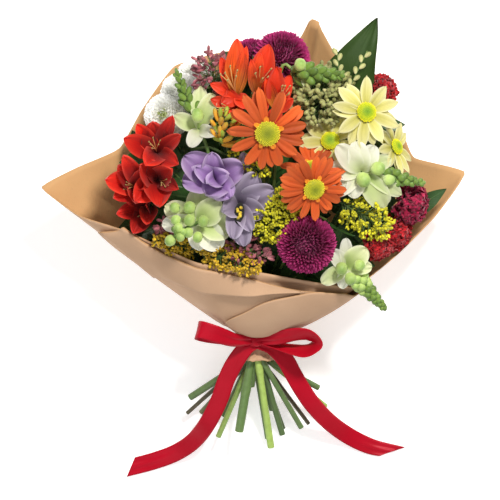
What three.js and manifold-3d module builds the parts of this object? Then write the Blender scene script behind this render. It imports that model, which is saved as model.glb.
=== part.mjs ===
// Mixed flower bouquet in a kraft paper wrap, tied with a red satin ribbon and lying on its back.
// Millimetres, +Z up. The surface that the bouquet lies on is z = 0, +Y runs from the tie to the
// flowers, and the origin is the middle of the flat spot that the wrap rests on.

import * as THREE from "three";
import { mergeVertices } from "three/addons/utils/BufferGeometryUtils.js";
import Module from "manifold-3d";

const wasm = await Module();
wasm.setup();

// Driving dimensions.
const TIE_Y = -140; // the tie, from the flat spot
const TIE_HEIGHT = 50; // the middle of the neck above the surface
const CLEARANCE = 0.4; // between pieces that lie side by side
const SEAT = 0.35; // between a bloom and the top of its stem
const PAPER = 1; // thickness of the wrap
const LAYER = 2; // from one fold of the wrap to the next, where they lie closest
const LAYER_SPREAD = 1.8; // how fast the folds part on the way to the rim
const NECK_RADIUS = 16; // outside of the paper at the tie
const CORE_RADIUS = 14.4; // the packed stems at the tie
const CORE_BACK = -12; // the stems are packed into one bundle from here
const CORE_FRONT = 9;
const BUNDLE_FRONT = 44; // to here, where they part
const BUNDLE_SPREAD = [27, 19];
const BUNDLE_RISE = 14;
const NECK_FRONT = 6; // the paper starts to flare here
const SKIRT = 21; // how far the gathered paper runs back from there
const RIBBON_WIDTH = 16;
const RIBBON_THICK = 0.8;
const BLADE_THICK = 1.2;
const TRIM = 0.4; // edges shorter than this are merged where pieces join
const STEM_TRIM = 0.9; // and where stems join
const MERGE = 0.0025; // corners nearer than this would be one
const GOLDEN_ANGLE = Math.PI * (3 - Math.sqrt(5));

const COLOURS = {
  kraft: 0xb98a5e,
  ribbon: 0xc4122a,
  stem: 0x4f7a2c,
  orange: 0xe8601c,
  orangeDisc: 0xb4bf12,
  cream: 0xf2eba0,
  creamDisc: 0xe6d800,
  purple: 0x8a1060,
  white: 0xf0f2dc,
  red: 0xc41c12,
  scarlet: 0xe03a16,
  lavender: 0xa68cc8,
  snapdragon: 0xc6dc98,
  crimson: 0xa80c38,
  yellow: 0xe0c410,
  pink: 0xb04a60,
  seed: 0xb0ae78,
  bud: 0xc8b428,
  leaf: 0x2c5a22,
};

// Where a thing is: across, along from the tie, and above the surface.
const at = ([x, y, z]) => new THREE.Vector3(x, y + TIE_Y, z);

const TIE = at([-4, 0, TIE_HEIGHT]);

// Rows of a table as objects with the given keys.
const rows = (keys, table) =>
  table.map((row) => Object.fromEntries(keys.map((key, i) => [key, row[i]])));

// Every bloom: its centre, the way it faces, and the radius to its petal tips.
const BLOOM = ["name", "colour", "centre", "face", "radius"];
const DAISIES = rows(BLOOM, [
  ["orange_daisy_1", "orange", [6, 188, 184], [0.05, -0.2, 1], 37],
  ["orange_daisy_2", "orange", [47, 139, 182], [0.3, -0.35, 0.87], 32],
  ["orange_daisy_3", "orange", [46, 160, 152], [0, 0.45, 0.88], 30],
  ["cream_daisy_1", "cream", [94, 208, 156], [0.25, 0.1, 0.95], 33],
  ["cream_daisy_2", "cream", [62, 183, 150], [-0.1, 0.25, 0.95], 31],
  ["cream_daisy_3", "cream", [122, 178, 134], [0.75, 0.25, 0.6], 27],
]);
const POMPONS = rows(BLOOM, [
  ["purple_mum_1", "purple", [19, 262, 118], [0.1, 0.45, 0.85], 29],
  ["purple_mum_2", "purple", [-14, 262, 92], [-0.1, 0.7, 0.65], 22],
  ["purple_mum_3", "purple", [41, 91, 150], [0, -0.3, 0.95], 29],
  ["white_mum_1", "white", [-92, 206, 124], [-0.45, 0.1, 0.9], 24],
  ["white_mum_2", "white", [-84, 231, 106], [-0.4, 0.4, 0.8], 21],
  ["white_mum_3", "white", [-66, 245, 92], [-0.25, 0.6, 0.75], 20],
]);
const TRUMPETS = rows(BLOOM, [
  ["red_alstroemeria_1", "red", [-94, 178, 138], [-0.05, 0.35, 0.93], 32],
  ["red_alstroemeria_2", "red", [-116, 143, 126], [-0.5, -0.05, 0.85], 28],
  ["red_alstroemeria_3", "red", [-87, 146, 136], [0.3, -0.2, 0.93], 29],
  ["red_alstroemeria_4", "red", [-106, 118, 112], [-0.35, -0.45, 0.8], 20],
  ["scarlet_alstroemeria_1", "scarlet", [-24, 230, 156], [-0.2, 0.55, 0.8], 33],
  ["scarlet_alstroemeria_2", "scarlet", [-2, 232, 154], [0.2, 0.55, 0.8], 33],
  ["scarlet_alstroemeria_3", "scarlet", [17, 218, 158], [0.3, 0.55, 0.79], 27],
  ["scarlet_alstroemeria_4", "scarlet", [-28, 212, 152], [-0.5, -0.1, 0.85], 25],
]);
const ROSETTES = rows([...BLOOM, "petals"], [
  ["lisianthus_1", "lavender", [-42, 147, 160], [-0.05, -0.15, 1], 33, 10],
  ["lisianthus_2", "lavender", [-16, 121, 150], [0.3, -0.4, 0.85], 31, 9],
  ["red_carnation_1", "crimson", [112, 230, 104], [0.5, 0.4, 0.77], 17, 8],
  ["red_carnation_2", "crimson", [104, 90, 130], [0.3, -0.3, 0.9], 16, 8],
  ["red_carnation_3", "crimson", [120, 101, 112], [0.6, -0.3, 0.75], 19, 8],
  ["crimson_carnation_1", "crimson", [134, 128, 118], [0.6, -0.1, 0.8], 21, 8],
]);

// Spikes and plumes: where each begins, where its tip is, and how wide it is.
const SNAPDRAGONS = rows(["name", "base", "tip", "width"], [
  ["snapdragon_1", [-52, 186, 140], [-78, 242, 150], 30],
  ["snapdragon_2", [30, 243, 136], [75, 242, 150], 18],
  ["snapdragon_3", [82, 161, 146], [147, 146, 140], 40],
  ["snapdragon_4", [-52, 112, 134], [-78, 92, 170], 44],
  ["snapdragon_5", [72, 76, 132], [112, 32, 134], 32],
]);
const PLUMES = rows(["name", "colour", "base", "tip", "width", "florets"], [
  ["goldenrod_1", "yellow", [-2, 94, 134], [24, 134, 160], 32, 16],
  ["goldenrod_2", "yellow", [-54, 87, 122], [-3, 70, 148], 21, 13],
  ["goldenrod_3", "yellow", [-66, 96, 111], [-96, 94, 125], 15, 8],
  ["goldenrod_4", "yellow", [72, 128, 138], [114, 102, 150], 32, 15],
  ["goldenrod_5", "yellow", [-34, 172, 142], [8, 152, 160], 17, 9],
  ["pink_buds_1", "pink", [-42, 228, 122], [-46, 256, 148], 34, 14],
  ["pink_buds_2", "pink", [-22, 90, 120], [-4, 80, 143], 26, 11],
  ["pink_buds_3", "pink", [-84, 110, 110], [-90, 104, 130], 14, 6],
  ["seed_spray_1", "seed", [54, 210, 128], [56, 228, 158], 54, 17],
  ["yellow_buds_1", "bud", [-28, 186, 146], [-34, 206, 168], 24, 8],
]);

// Leaves: base, tip, the way the upper face looks, and the widest width.
const LEAVES = rows(["name", "base", "tip", "up", "width"], [
  ["broad_leaf", [70, 208, 112], [105, 294, 132], [-0.2, 0, 1], 46],
  ["side_leaf", [128, 116, 104], [168, 141, 110], [0, -0.3, 1], 18],
  ["front_leaf", [60, 112, 124], [84, 98, 146], [0.3, -0.9, 0.5], 16],
]);
// Leafy stems that fill the bouquet between the blooms and the paper.
const FOLIAGE = rows(["name", "base", "tip", "leaves"], [
  ["foliage_1", [-40, 134, 60], [-126, 186, 80], 6],
  ["foliage_2", [-10, 150, 52], [-16, 262, 46], 6],
  ["foliage_3", [36, 130, 56], [112, 216, 64], 6],
  ["foliage_4", [-34, 104, 92], [-92, 172, 104], 6],
  ["foliage_5", [50, 116, 92], [112, 168, 100], 6],
]);

// Cut ends of the stems below the tie, and how thick each stem is.
const CUT_ENDS = [
  [-65, -48, 34, 5.5],
  [-67, -64, 14, 3.4],
  [-55, -62, 26, 4.5],
  [-40, -83, 22, 4.5],
  [-21, -78, 40, 7],
  [-10, -38, 46, 6],
  [8, -91, 36, 6],
  [19, -80, 30, 5],
  [35, -76, 34, 4.5],
  [42, -72, 20, 3.4],
  [53, -38, 36, 5],
  [58, -55, 22, 4.5],
  [10, -60, 18, 5],
  [-34, -66, 10, 5],
  [26, -84, 9, 5],
  [-8, -88, 8, 5.5],
];

// The wrap's rim from the back round by the left: the angle at the neck, the rim point, and the
// point that pulls the paper out on its way there.
const RIM = [
  { angle: 0, rim: [12, 268, 36], pull: [0, 125, -60] },
  { angle: 20, rim: [-30, 270, 36], pull: [-16, 122, -58] },
  { angle: 40, rim: [-76, 256, 44], pull: [-42, 115, -50] },
  { angle: 60, rim: [-112, 216, 50], pull: [-66, 100, -24] },
  { angle: 76, rim: [-137, 178, 60], pull: [-82, 84, 0] },
  { angle: 88, rim: [-168, 161, 74], pull: [-94, 74, 26] },
  { angle: 99, rim: [-200, 142, 86], pull: [-100, 66, 48] },
  { angle: 112, rim: [-166, 116, 98], pull: [-84, 52, 72] },
  { angle: 130, rim: [-122, 102, 112], pull: [-62, 36, 94] },
  { angle: 155, rim: [-58, 74, 127], pull: [-34, 16, 108] },
  { angle: 180, rim: [-1, 65, 137], pull: [-3, 9, 112] },
  { angle: 205, rim: [42, 57, 133], pull: [24, 14, 108] },
  { angle: 228, rim: [86, 52, 119], pull: [52, 22, 98] },
  { angle: 245, rim: [124, 80, 106], pull: [74, 40, 80] },
  { angle: 256, rim: [160, 116, 96], pull: [88, 56, 62] },
  { angle: 265, rim: [184, 156, 86], pull: [96, 68, 44] },
  { angle: 278, rim: [142, 170, 66], pull: [84, 84, 20] },
  { angle: 295, rim: [132, 192, 52], pull: [74, 98, -20] },
  { angle: 316, rim: [106, 232, 44], pull: [48, 112, -46] },
  { angle: 334, rim: [68, 258, 42], pull: [26, 122, -56] },
  { angle: 346, rim: [49, 293, 52], pull: [18, 125, -60] },
  { angle: 353, rim: [33, 274, 44], pull: [10, 125, -60] },
];

// A closed solid from rings of points, with a point or a flat cap at each end.
function loft(rings, first = null, last = null) {
  const points = [];
  const faces = [];
  const sides = rings[0].length;
  rings.forEach((ring) => points.push(...ring));
  for (let r = 0; r + 1 < rings.length; r++) {
    for (let s = 0; s < sides; s++) {
      const next = (s + 1) % sides;
      const [a, b, c, d] = [r * sides + s, r * sides + next, (r + 1) * sides + next, (r + 1) * sides + s];
      faces.push([a, b, c], [a, c, d]);
    }
  }
  const close = (start, point, outward) => {
    if (point) points.push(point);
    const tip = points.length - 1;
    for (let s = point ? 0 : 1; s < (point ? sides : sides - 1); s++) {
      const face = point ? [tip, start + ((s + 1) % sides), start + s] : [start, start + s + 1, start + s];
      faces.push(outward ? [face[0], face[2], face[1]] : face);
    }
  };
  close(0, first, false);
  close((rings.length - 1) * sides, last, true);
  const geometry = new THREE.BufferGeometry().setFromPoints(points);
  geometry.setIndex(faces.flat());
  return geometry;
}

// A three.js geometry as a solid, with its seams merged and its empty triangles dropped.
function solid(geometry) {
  const bare = new THREE.BufferGeometry();
  bare.setAttribute("position", geometry.getAttribute("position"));
  bare.setIndex(geometry.index);
  const merged = mergeVertices(bare, 1e-4);
  const index = merged.index.array;
  const kept = [];
  for (let i = 0; i < index.length; i += 3) {
    const [a, b, c] = [index[i], index[i + 1], index[i + 2]];
    if (a !== b && b !== c && a !== c) kept.push(a, b, c);
  }
  return new wasm.Manifold(
    new wasm.Mesh({
      numProp: 3,
      vertProperties: new Float32Array(merged.getAttribute("position").array),
      triVerts: new Uint32Array(kept),
    }),
  );
}

// Turns +Z to face the given way and moves the origin to a point.
function facing(point, direction) {
  const turn = new THREE.Quaternion().setFromUnitVectors(
    new THREE.Vector3(0, 0, 1),
    direction.clone().normalize(),
  );
  return new THREE.Matrix4().compose(point, turn, new THREE.Vector3(1, 1, 1));
}

// A petal or leaf along +X with its upper face up: a thin chevron, pointed at both ends, that
// bends by curl on its way.
function blade(shape) {
  const { length, width, rise = 0, curl = 0, cup = 0.1, wave = 0, stations = [0.35, 0.8] } = shape;
  const profile = shape.profile || [0.9, 0.85];
  const rings = [];
  let [x, z, before] = [0, 0, 0];
  const walk = (t) => {
    const angle = THREE.MathUtils.degToRad(rise + (curl * (t + before)) / 2);
    x += (t - before) * length * Math.cos(angle);
    z += (t - before) * length * Math.sin(angle);
    before = t;
    return THREE.MathUtils.degToRad(rise + curl * t);
  };
  stations.forEach((t, i) => {
    const angle = walk(t);
    const half = (width * profile[i]) / 2;
    const [nx, nz] = [-Math.sin(angle), Math.cos(angle)];
    const lift = cup * half;
    const ruffle = wave * (i % 2 ? 1 : -1);
    rings.push([
      new THREE.Vector3(x + nx * (lift + ruffle), -half, z + nz * (lift + ruffle)),
      new THREE.Vector3(x - nx * BLADE_THICK, 0, z - nz * BLADE_THICK),
      new THREE.Vector3(x + nx * (lift - ruffle), half, z + nz * (lift - ruffle)),
    ]);
  });
  walk(1);
  return loft(rings, new THREE.Vector3(0, 0, 0), new THREE.Vector3(x, 0, z));
}

// A narrow petal with three sides, pointed at both ends, for the dense heads.
function quill({ length, width, rise, widest = 0.68 }) {
  const angle = THREE.MathUtils.degToRad(rise);
  const along = (t, up) => {
    const [x, z] = [t * length, up];
    const [c, s] = [Math.cos(angle), Math.sin(angle)];
    return new THREE.Vector3(x * c - z * s, 0, x * s + z * c);
  };
  const middle = along(widest, 0.5);
  const ring = [middle.clone().setY(-width / 2), along(widest, -1), middle.clone().setY(width / 2)];
  return loft([ring], along(0, 0), along(1, 0.6));
}

// A turned solid about +Z from [radius, height] pairs that start and end on the axis.
function turned(profile, sides) {
  const points = profile.map(([radius, height]) => new THREE.Vector2(radius, height));
  return new THREE.LatheGeometry(points, sides).rotateX(Math.PI / 2);
}

const nodes = []; // finished solids: { name, colour, solid, box }
const isApart = (a, b) =>
  [0, 1, 2].some((k) => a.min[k] > b.max[k] + CLEARANCE || b.min[k] > a.max[k] + CLEARANCE);

function isClear(piece, but = []) {
  const box = piece.boundingBox();
  return nodes.every(
    (n) => but.includes(n.name) || isApart(box, n.box) || piece.minGap(n.solid, CLEARANCE) >= CLEARANCE,
  );
}

// The largest body of a solid: loose scraps go and a sealed hollow is filled.
function wholeBody(made) {
  return made.decompose().reduce((best, body) => (body.volume() > best.volume() ? body : best));
}

// True when no two corners of a solid lie so near that they would merge into one.
function isCrisp(body) {
  const values = body.getMesh().vertProperties;
  const corner = (_, i) => new THREE.Vector3().fromArray(values, 3 * i);
  const corners = Array.from({ length: values.length / 3 }, corner);
  corners.sort((p, q) => p.x - q.x);
  return corners.every((corner, i) => {
    for (let j = i + 1; j < corners.length && corners[j].x - corner.x < MERGE; j++) {
      if (corners[j].distanceTo(corner) < MERGE) return false;
    }
    return true;
  });
}

function keep(name, colour, made) {
  const old = nodes.findIndex((n) => n.name === name);
  if (old >= 0) nodes.splice(old, 1);
  const bodies = [1, 1.3, 0.7, 1.7, 0.4].map((share) => () => wholeBody(made.simplify(TRIM * share)));
  const body = (bodies.find((make) => isCrisp(make())) || bodies[0])();
  nodes.push({ name, colour, solid: body, box: body.boundingBox() });
}

// Adds pieces to a node. Each is a list of shapes to try, and the first that clears every
// neighbour is taken; a piece with no room is left out, as a squeezed petal is.
function grow(name, pieces) {
  const node = nodes.find((n) => n.name === name);
  const taken = [node.solid];
  pieces.forEach((tries) => {
    const fit = tries.map((t) => () => solid(t())).find((make) => isClear(make(), [name]));
    if (fit) taken.push(fit());
  });
  keep(name, node.colour, wasm.Manifold.union(taken));
}

// The wrap.
const rimCurve = new THREE.CatmullRomCurve3(RIM.map((r) => at(r.rim)), true, "catmullrom", 0.35);
const pullCurve = new THREE.CatmullRomCurve3(RIM.map((r) => at(r.pull)), true, "catmullrom", 0.5);

// Curve parameter of a neck angle, in degrees from the underside round by the left.
function rimParameter(angle) {
  const turn = ((angle % 360) + 360) % 360;
  const after = RIM.findIndex((r) => r.angle > turn);
  const low = after < 0 ? RIM.length - 1 : after - 1;
  const high = after < 0 ? 360 : RIM[after].angle;
  return (low + (turn - RIM[low].angle) / (high - RIM[low].angle)) / RIM.length;
}

// A point of the paper's outside: below 0 it is the gathered skirt under the tie, 1 is the rim.
function paperPoint(angle, v) {
  const turn = THREE.MathUtils.degToRad(angle);
  const spoke = new THREE.Vector3(-Math.sin(turn), 0, -Math.cos(turn));
  const neck = TIE.clone().addScaledVector(spoke, NECK_RADIUS).add(new THREE.Vector3(0, NECK_FRONT, 0));
  if (v <= 0) {
    const flare = Math.max(-v - 0.72, 0) * (14 + 5 * Math.sin(7 * turn));
    return neck.addScaledVector(spoke, flare).add(new THREE.Vector3(0, SKIRT * v, 0));
  }
  const t = rimParameter(angle);
  const point = neck
    .multiplyScalar((1 - v) ** 2)
    .addScaledVector(pullCurve.getPoint(t), 2 * v * (1 - v))
    .addScaledVector(rimCurve.getPoint(t), v * v);
  point.z = Math.max(point.z, 0);
  return point;
}

function paperNormal(angle, v) {
  const step = 0.01;
  const [v0, v1] = v <= 0 ? [v - step, v] : [Math.max(v - step, step), v + step];
  const along = paperPoint(angle, v1).sub(paperPoint(angle, v0));
  const around = paperPoint(angle + 1, v).sub(paperPoint(angle - 1, v));
  return around.cross(along).normalize();
}

// A closed sheet that follows the wrap a number of folds out: rows of points from the neck out.
function sheet(angles, rows, folds, closed) {
  const face = (depth) =>
    angles.map((angle) =>
      rows(angle).map((v) => {
        const lift = folds * (LAYER + LAYER_SPREAD * Math.max(v - 0.16, 0)) - depth;
        const point = paperPoint(angle, v).addScaledVector(paperNormal(angle, v), lift);
        if (v > 0 && depth) point.z = Math.max(point.z, PAPER);
        return point;
      }),
    );
  const [outer, inner] = [face(0), face(PAPER)];
  const columns = angles.map((_, i) => [...outer[i], ...inner[i].reverse()]);
  const ring = columns[0].length;
  const points = columns.flat();
  const faces = [];
  // Both sides are cut into triangles alike, so that a twisted sheet keeps its thickness.
  for (let c = 0; c < (closed ? columns.length : columns.length - 1); c++) {
    const next = (c + 1) % columns.length;
    for (let r = 0; r < ring; r++) {
      const up = (r + 1) % ring;
      const [a, b, d, e] = [c * ring + r, c * ring + up, next * ring + up, next * ring + r];
      if (r < ring / 2) faces.push([a, b, d], [a, d, e]);
      else faces.push([a, b, e], [b, d, e]);
    }
  }
  if (!closed) {
    const last = (columns.length - 1) * ring;
    for (let r = 0; r + 1 < ring / 2; r++) {
      const [a, b, d, e] = [r, r + 1, ring - 2 - r, ring - 1 - r];
      faces.push([a, e, d], [a, d, b]);
      faces.push([last + a, last + b, last + d], [last + a, last + d, last + e]);
    }
  }
  const geometry = new THREE.BufferGeometry().setFromPoints(points);
  geometry.setIndex(faces.flat());
  return geometry;
}

const outwards = (made) => (made.volume() < 0 ? null : made);

function solidEitherWay(geometry) {
  const made = outwards(solid(geometry));
  if (made) return made;
  const index = geometry.index.array;
  for (let i = 0; i < index.length; i += 3) {
    [index[i + 1], index[i + 2]] = [index[i + 2], index[i + 1]];
  }
  return solid(geometry);
}

// The columns of the wrap, as angles round the neck.
const COLUMNS = RIM.flatMap((r, i) => {
  const next = i + 1 < RIM.length ? RIM[i + 1].angle : 360;
  return next - r.angle > 14 ? [r.angle, (r.angle + next) / 2] : [r.angle];
});
const columnsBetween = (from, to) => COLUMNS.filter((angle) => angle >= from && angle <= to);
// Rows of a flap: those of the wrap itself as far as they fit, so that the two lie parallel.
const WRAP_ROWS = [-1, -0.72, 0, 0.14, 0.3, 0.52, 0.74, 1];
const FLAP_ROWS = [0.16, ...WRAP_ROWS.slice(4)];
function rowsUpTo(top, count) {
  const even = (i) => FLAP_ROWS[0] + ((top - FLAP_ROWS[0]) * i) / count;
  const row = (_, i) => (i < count ? Math.min(FLAP_ROWS[i], even(i)) : top);
  return Array.from({ length: count + 1 }, row);
}

// The free edge of each flap, as angles and rows. The left one has a corner that stands above the
// rim; the right one crosses the front from the middle of the left one up to the rim.
const LEFT_FLAP = [[112, 0.75], [130, 1.05], [142.5, 0.985], [190, 0.92], [228, 0.9]];
const RIGHT_FLAP = [[155, 0.43], [197, 0.98], [256, 0.98]];
function edgeRow(stops, angle) {
  const after = Math.max(1, stops.findIndex((stop) => stop[0] >= angle));
  const [[a, low], [b, high]] = [stops[after - 1], stops[after]];
  return low + ((high - low) * (angle - a)) / (b - a);
}

function flap(stops) {
  const columns = columnsBetween(stops[0][0], stops.at(-1)[0]);
  return [columns, (angle) => rowsUpTo(edgeRow(stops, angle), FLAP_ROWS.length - 1)];
}

function addPaper() {
  keep("paper_wrap", "kraft", solidEitherWay(sheet(COLUMNS, () => WRAP_ROWS, 0, true)));
  keep("paper_overlap_left", "kraft", solidEitherWay(sheet(...flap(LEFT_FLAP), 1, false)));
  keep("paper_overlap_right", "kraft", solidEitherWay(sheet(...flap(RIGHT_FLAP), 2, false)));
}

// A stem: an extruded polygon along a smooth path.
function stem(points, thick, steps, sides = 4) {
  const polygon = new THREE.Shape(
    Array.from({ length: sides }, (_, i) => {
      const turn = (i / sides) * 2 * Math.PI;
      return new THREE.Vector2(Math.cos(turn), Math.sin(turn)).multiplyScalar(thick / 2);
    }),
  );
  const path = new THREE.CatmullRomCurve3(points);
  return new THREE.ExtrudeGeometry(polygon, { steps, extrudePath: path });
}

// Every stem top: the point below a bloom and the way that the bloom faces there. Sprays and
// leaves branch from the nearest stem.
const stemTops = [];
const needsStem = (point, direction, thick = 3.4, branch = false) =>
  stemTops.push({ point, direction: direction.clone().normalize(), thick, branch });

// A point across the neck: how far out to the left or right, and up, as shares of the packed stems.
function neckPoint(across, up, thick, along) {
  const spread = new THREE.Vector3(across, 0, up);
  if (spread.length() > 1) spread.normalize();
  const reach = CORE_RADIUS - thick / 2 - 0.8;
  return TIE.clone().addScaledVector(spread, reach).add(new THREE.Vector3(0, along, 0));
}

function stemsSolid() {
  const ring = (along, across, up, rise) =>
    Array.from({ length: 10 }, (_, i) => {
      const turn = (i / 10) * 2 * Math.PI;
      return TIE.clone().add(new THREE.Vector3(across * Math.cos(turn), along, rise + up * Math.sin(turn)));
    });
  const bundle = loft([
    ring(CORE_BACK, CORE_RADIUS, CORE_RADIUS, 0),
    ring(CORE_FRONT, CORE_RADIUS, CORE_RADIUS, 0),
    ring(BUNDLE_FRONT, ...BUNDLE_SPREAD, BUNDLE_RISE),
  ]);
  const parts = [solidEitherWay(bundle)];
  const forks = [];
  stemTops.sort((a, b) => a.branch - b.branch);
  stemTops.forEach(({ point, direction, thick, branch }) => {
    const end = point.clone().addScaledVector(direction, -SEAT);
    const below = end.clone().addScaledVector(direction, -14);
    if (branch) {
      const back = below.clone().addScaledVector(direction, -30);
      const nearer = (best, next) => (next.distanceTo(back) < best.distanceTo(back) ? next : best);
      const fork = forks.reduce(nearer);
      const start = fork.clone().addScaledVector(direction, -0.02 * parts.length);
      parts.push(solid(stem([start, below, end], thick, 2, 3)));
      return;
    }
    const away = end.clone().sub(TIE);
    const spread = new THREE.Vector3(away.x / 130, 0, (away.z - 75) / 60);
    if (spread.length() > 0.85) spread.setLength(0.85);
    spread.set(spread.x * BUNDLE_SPREAD[0], BUNDLE_FRONT - 3, spread.z * BUNDLE_SPREAD[1] + BUNDLE_RISE);
    const neck = TIE.clone().add(spread);
    parts.push(solid(stem([neck, below, end], thick, 2, 3)));
    const halfway = new THREE.CatmullRomCurve3([neck, below, end]).getPointAt(0.5);
    forks.push(neck.clone().lerp(halfway, 0.85));
  });
  // The cut stems leave the neck side by side, in the order in which they fan out.
  const bearing = ([x, , z]) => Math.atan2(z - 26, x);
  [...CUT_ENDS].sort((a, b) => bearing(a) - bearing(b)).forEach(([x, y, z, thick], i) => {
    const turn = ((i + 0.5) / CUT_ENDS.length) * 2 * Math.PI - Math.PI;
    const reach = i % 3 ? 0.88 : 0.4 + 0.01 * i;
    const slot = [reach * Math.cos(turn), reach * Math.sin(turn), thick];
    const start = neckPoint(...slot, CORE_BACK + 3);
    const exit = neckPoint(...slot, NECK_FRONT - SKIRT);
    parts.push(solid(stem([start, exit, at([x, y, z])], thick, 3, 4)));
  });
  return wasm.Manifold.union(parts);
}

// The ribbon: a band round the neck with a bow and two tails.
// A strip of ribbon along points, level across unless a point says which way is across.
function strip(stops) {
  const rings = stops.map(({ p, across, width = RIBBON_WIDTH }, i) => {
    const [before, after] = [stops[Math.max(i - 1, 0)].p, stops[Math.min(i + 1, stops.length - 1)].p];
    const along = at(after).sub(at(before));
    const side = across ? new THREE.Vector3(...across) : new THREE.Vector3(-along.y, along.x, 0);
    const normal = along.clone().cross(side).normalize();
    side.copy(normal.clone().cross(along)).normalize();
    const corner = (u, w) =>
      at(p).addScaledVector(side, (u * width) / 2).addScaledVector(normal, (w * RIBBON_THICK) / 2);
    return [corner(-1, -1), corner(1, -1), corner(1, 1), corner(-1, 1)].map((c) => c.toArray());
  });
  const links = rings.slice(1).map((ring, i) => wasm.Manifold.hull([...rings[i], ...ring]));
  return wasm.Manifold.union(links);
}

const BAND_INNER = NECK_RADIUS + CLEARANCE + 0.2;
const BAND_Y = 0.5;
const KNOT = [-4, 0, TIE_HEIGHT + BAND_INNER + 7.4];
const LEFT_TAIL = [
  { p: [-2, 0, 72], width: 8 },
  { p: [-13, -4, 72], width: 14 },
  { p: [-23, -17, 66] },
  { p: [-31, -33, 58] },
  { p: [-38, -53, 50] },
  { p: [-49, -75, 38] },
  { p: [-62, -92, 20] },
  { p: [-79, -104, 6] },
  { p: [-101, -115, 1.4] },
  { p: [-127, -125, 1.2] },
];
const RIGHT_TAIL = [
  { p: [-6, 0, 72], width: 8 },
  { p: [10, -3, 72], width: 14 },
  { p: [22, -14, 66] },
  { p: [30, -28, 59] },
  { p: [38, -42, 52] },
  { p: [49, -58, 40] },
  { p: [65, -75, 22] },
  { p: [84, -89, 6] },
  { p: [106, -99, 1.4] },
  { p: [136, -107, 1.2], width: 5 },
];
const LEFT_LOOP = [
  { p: [0, -1, 74], across: [0.1, 1, 0.4], width: 8 },
  { p: [-22, -1, 88], across: [0, 1, 0.5], width: 13 },
  { p: [-40, 8, 97], across: [0, 1, 0.4] },
  { p: [-54, 13, 96], across: [0, 1, 0.2] },
  { p: [-58, 12, 89], across: [0, 1, 0.1] },
  { p: [-52, 9, 82], across: [0, 1, 0.1] },
  { p: [-36, 4, 79], across: [0, 1, 0.3] },
  { p: [-20, 0, 77], across: [0, 1, 0.5], width: 11 },
  { p: [0, -1, 72], across: [0, 1, 0.3], width: 8 },
];
const RIGHT_LOOP = [
  { p: [-8, -1, 74], across: [0, 1, 0.4], width: 8 },
  { p: [13, 0, 87], across: [0, 0.8, 0.6], width: 12 },
  { p: [31, 7, 97], across: [0.1, 0.6, 0.8] },
  { p: [45, 6, 97], across: [0, 0.8, 0.6] },
  { p: [51, -2, 91], across: [-0.15, 1, 0.2] },
  { p: [44, -6, 83], across: [0, 0.8, 0.6] },
  { p: [25, -5, 78], across: [0, 0.8, 0.6], width: 13 },
  { p: [-6, -1, 72], across: [0, 1, 0.3], width: 8 },
];

function ribbonSolid() {
  const [inside, outside, half] = [BAND_INNER, BAND_INNER + RIBBON_THICK, 4.5];
  const ring = [[inside, -half], [outside, -half], [outside, half], [inside, half], [inside, -half]];
  const profile = ring.map(([radius, height]) => new THREE.Vector2(radius, height));
  const band = new THREE.LatheGeometry(profile, 12).translate(TIE.x, TIE.y + BAND_Y, TIE.z);
  const knot = new THREE.SphereGeometry(1, 8, 4).scale(8.5, 6, 7.2).translate(...at(KNOT).toArray());
  const strips = [LEFT_TAIL, RIGHT_TAIL, LEFT_LOOP, RIGHT_LOOP].map(strip);
  return wasm.Manifold.union([solidEitherWay(band), solid(knot), ...strips]);
}

// Blooms. Each core is placed first, so that no petal grows through a neighbour's middle.
const faceOf = (flower) => new THREE.Vector3(...flower.face).normalize();
const placed = (flower) => facing(at(flower.centre), faceOf(flower));

function addCore(flower, colour, profile, sides, foot) {
  keep(flower.name, colour, solid(turned(profile, sides).applyMatrix4(placed(flower))));
  const seat = at(flower.centre).addScaledVector(faceOf(flower), foot);
  needsStem(seat, faceOf(flower));
}

// A small seeded unevenness from -1 to 1, so that no two petals are alike.
const uneven = (seed) => Math.sin(seed * 127.1 + 311.7 * Math.sin(seed * 1.3));

// One petal on a bloom: tried at its own angle, then folded up or shortened to clear a neighbour.
function petal(flower, evenTurn, root, height, evenShape, make = blade) {
  const seed = flower.radius + 7 * evenTurn;
  const turn = evenTurn + 0.05 * uneven(seed);
  const shape = { ...evenShape, rise: evenShape.rise + 2.5 * uneven(seed + 3) };
  const folds = [0, 10, 20, 30, 42, 55];
  const sizes = [1, 0.82, 0.66];
  const place = placed(flower);
  return sizes.flatMap((size) =>
    folds.map((fold) => () => {
      const rise = Math.min(shape.rise + fold, 86);
      return make({ ...shape, rise, length: shape.length * size })
        .translate(root, 0, height)
        .applyMatrix4(new THREE.Matrix4().makeRotationZ(turn))
        .applyMatrix4(place);
    }),
  );
}

const DAISY_PETALS = 12;
function daisyCore(flower) {
  const disc = flower.radius * 0.29;
  const cup = [[0, -7], [2.6, -6.6], [disc * 0.86, -2.6], [disc * 0.8, -0.4], [0, -0.4]];
  addCore(flower, flower.colour, cup, 7, -7);
  const dome = [[0, 0], [disc, 0], [disc * 0.72, disc * 0.42], [0, disc * 0.46]];
  keep(flower.name + "_disc", flower.colour + "Disc", solid(turned(dome, 8).applyMatrix4(placed(flower))));
}

function daisyPetals(flower) {
  const disc = flower.radius * 0.29;
  const petals = Array.from({ length: DAISY_PETALS }, (_, i) => {
    const layer = i % 2;
    return petal(flower, (i / DAISY_PETALS) * 2 * Math.PI, disc * 0.4, -2.4, {
      length: flower.radius - disc * 0.4,
      width: flower.radius * 0.34,
      rise: 3 + layer * 9,
      curl: -4,
      stations: [0.3, 0.8],
      profile: [0.62, 1],
    });
  });
  grow(flower.name, petals);
}

const POMPON_PETALS = 19;
function pomponCore(flower) {
  const r = flower.radius * 0.62;
  const heart = [[0, -0.55 * r], [r, -0.1 * r], [0.7 * r, 0.6 * r], [0, 0.8 * r]];
  addCore(flower, flower.colour, heart, 7, -0.55 * r);
}

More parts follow.
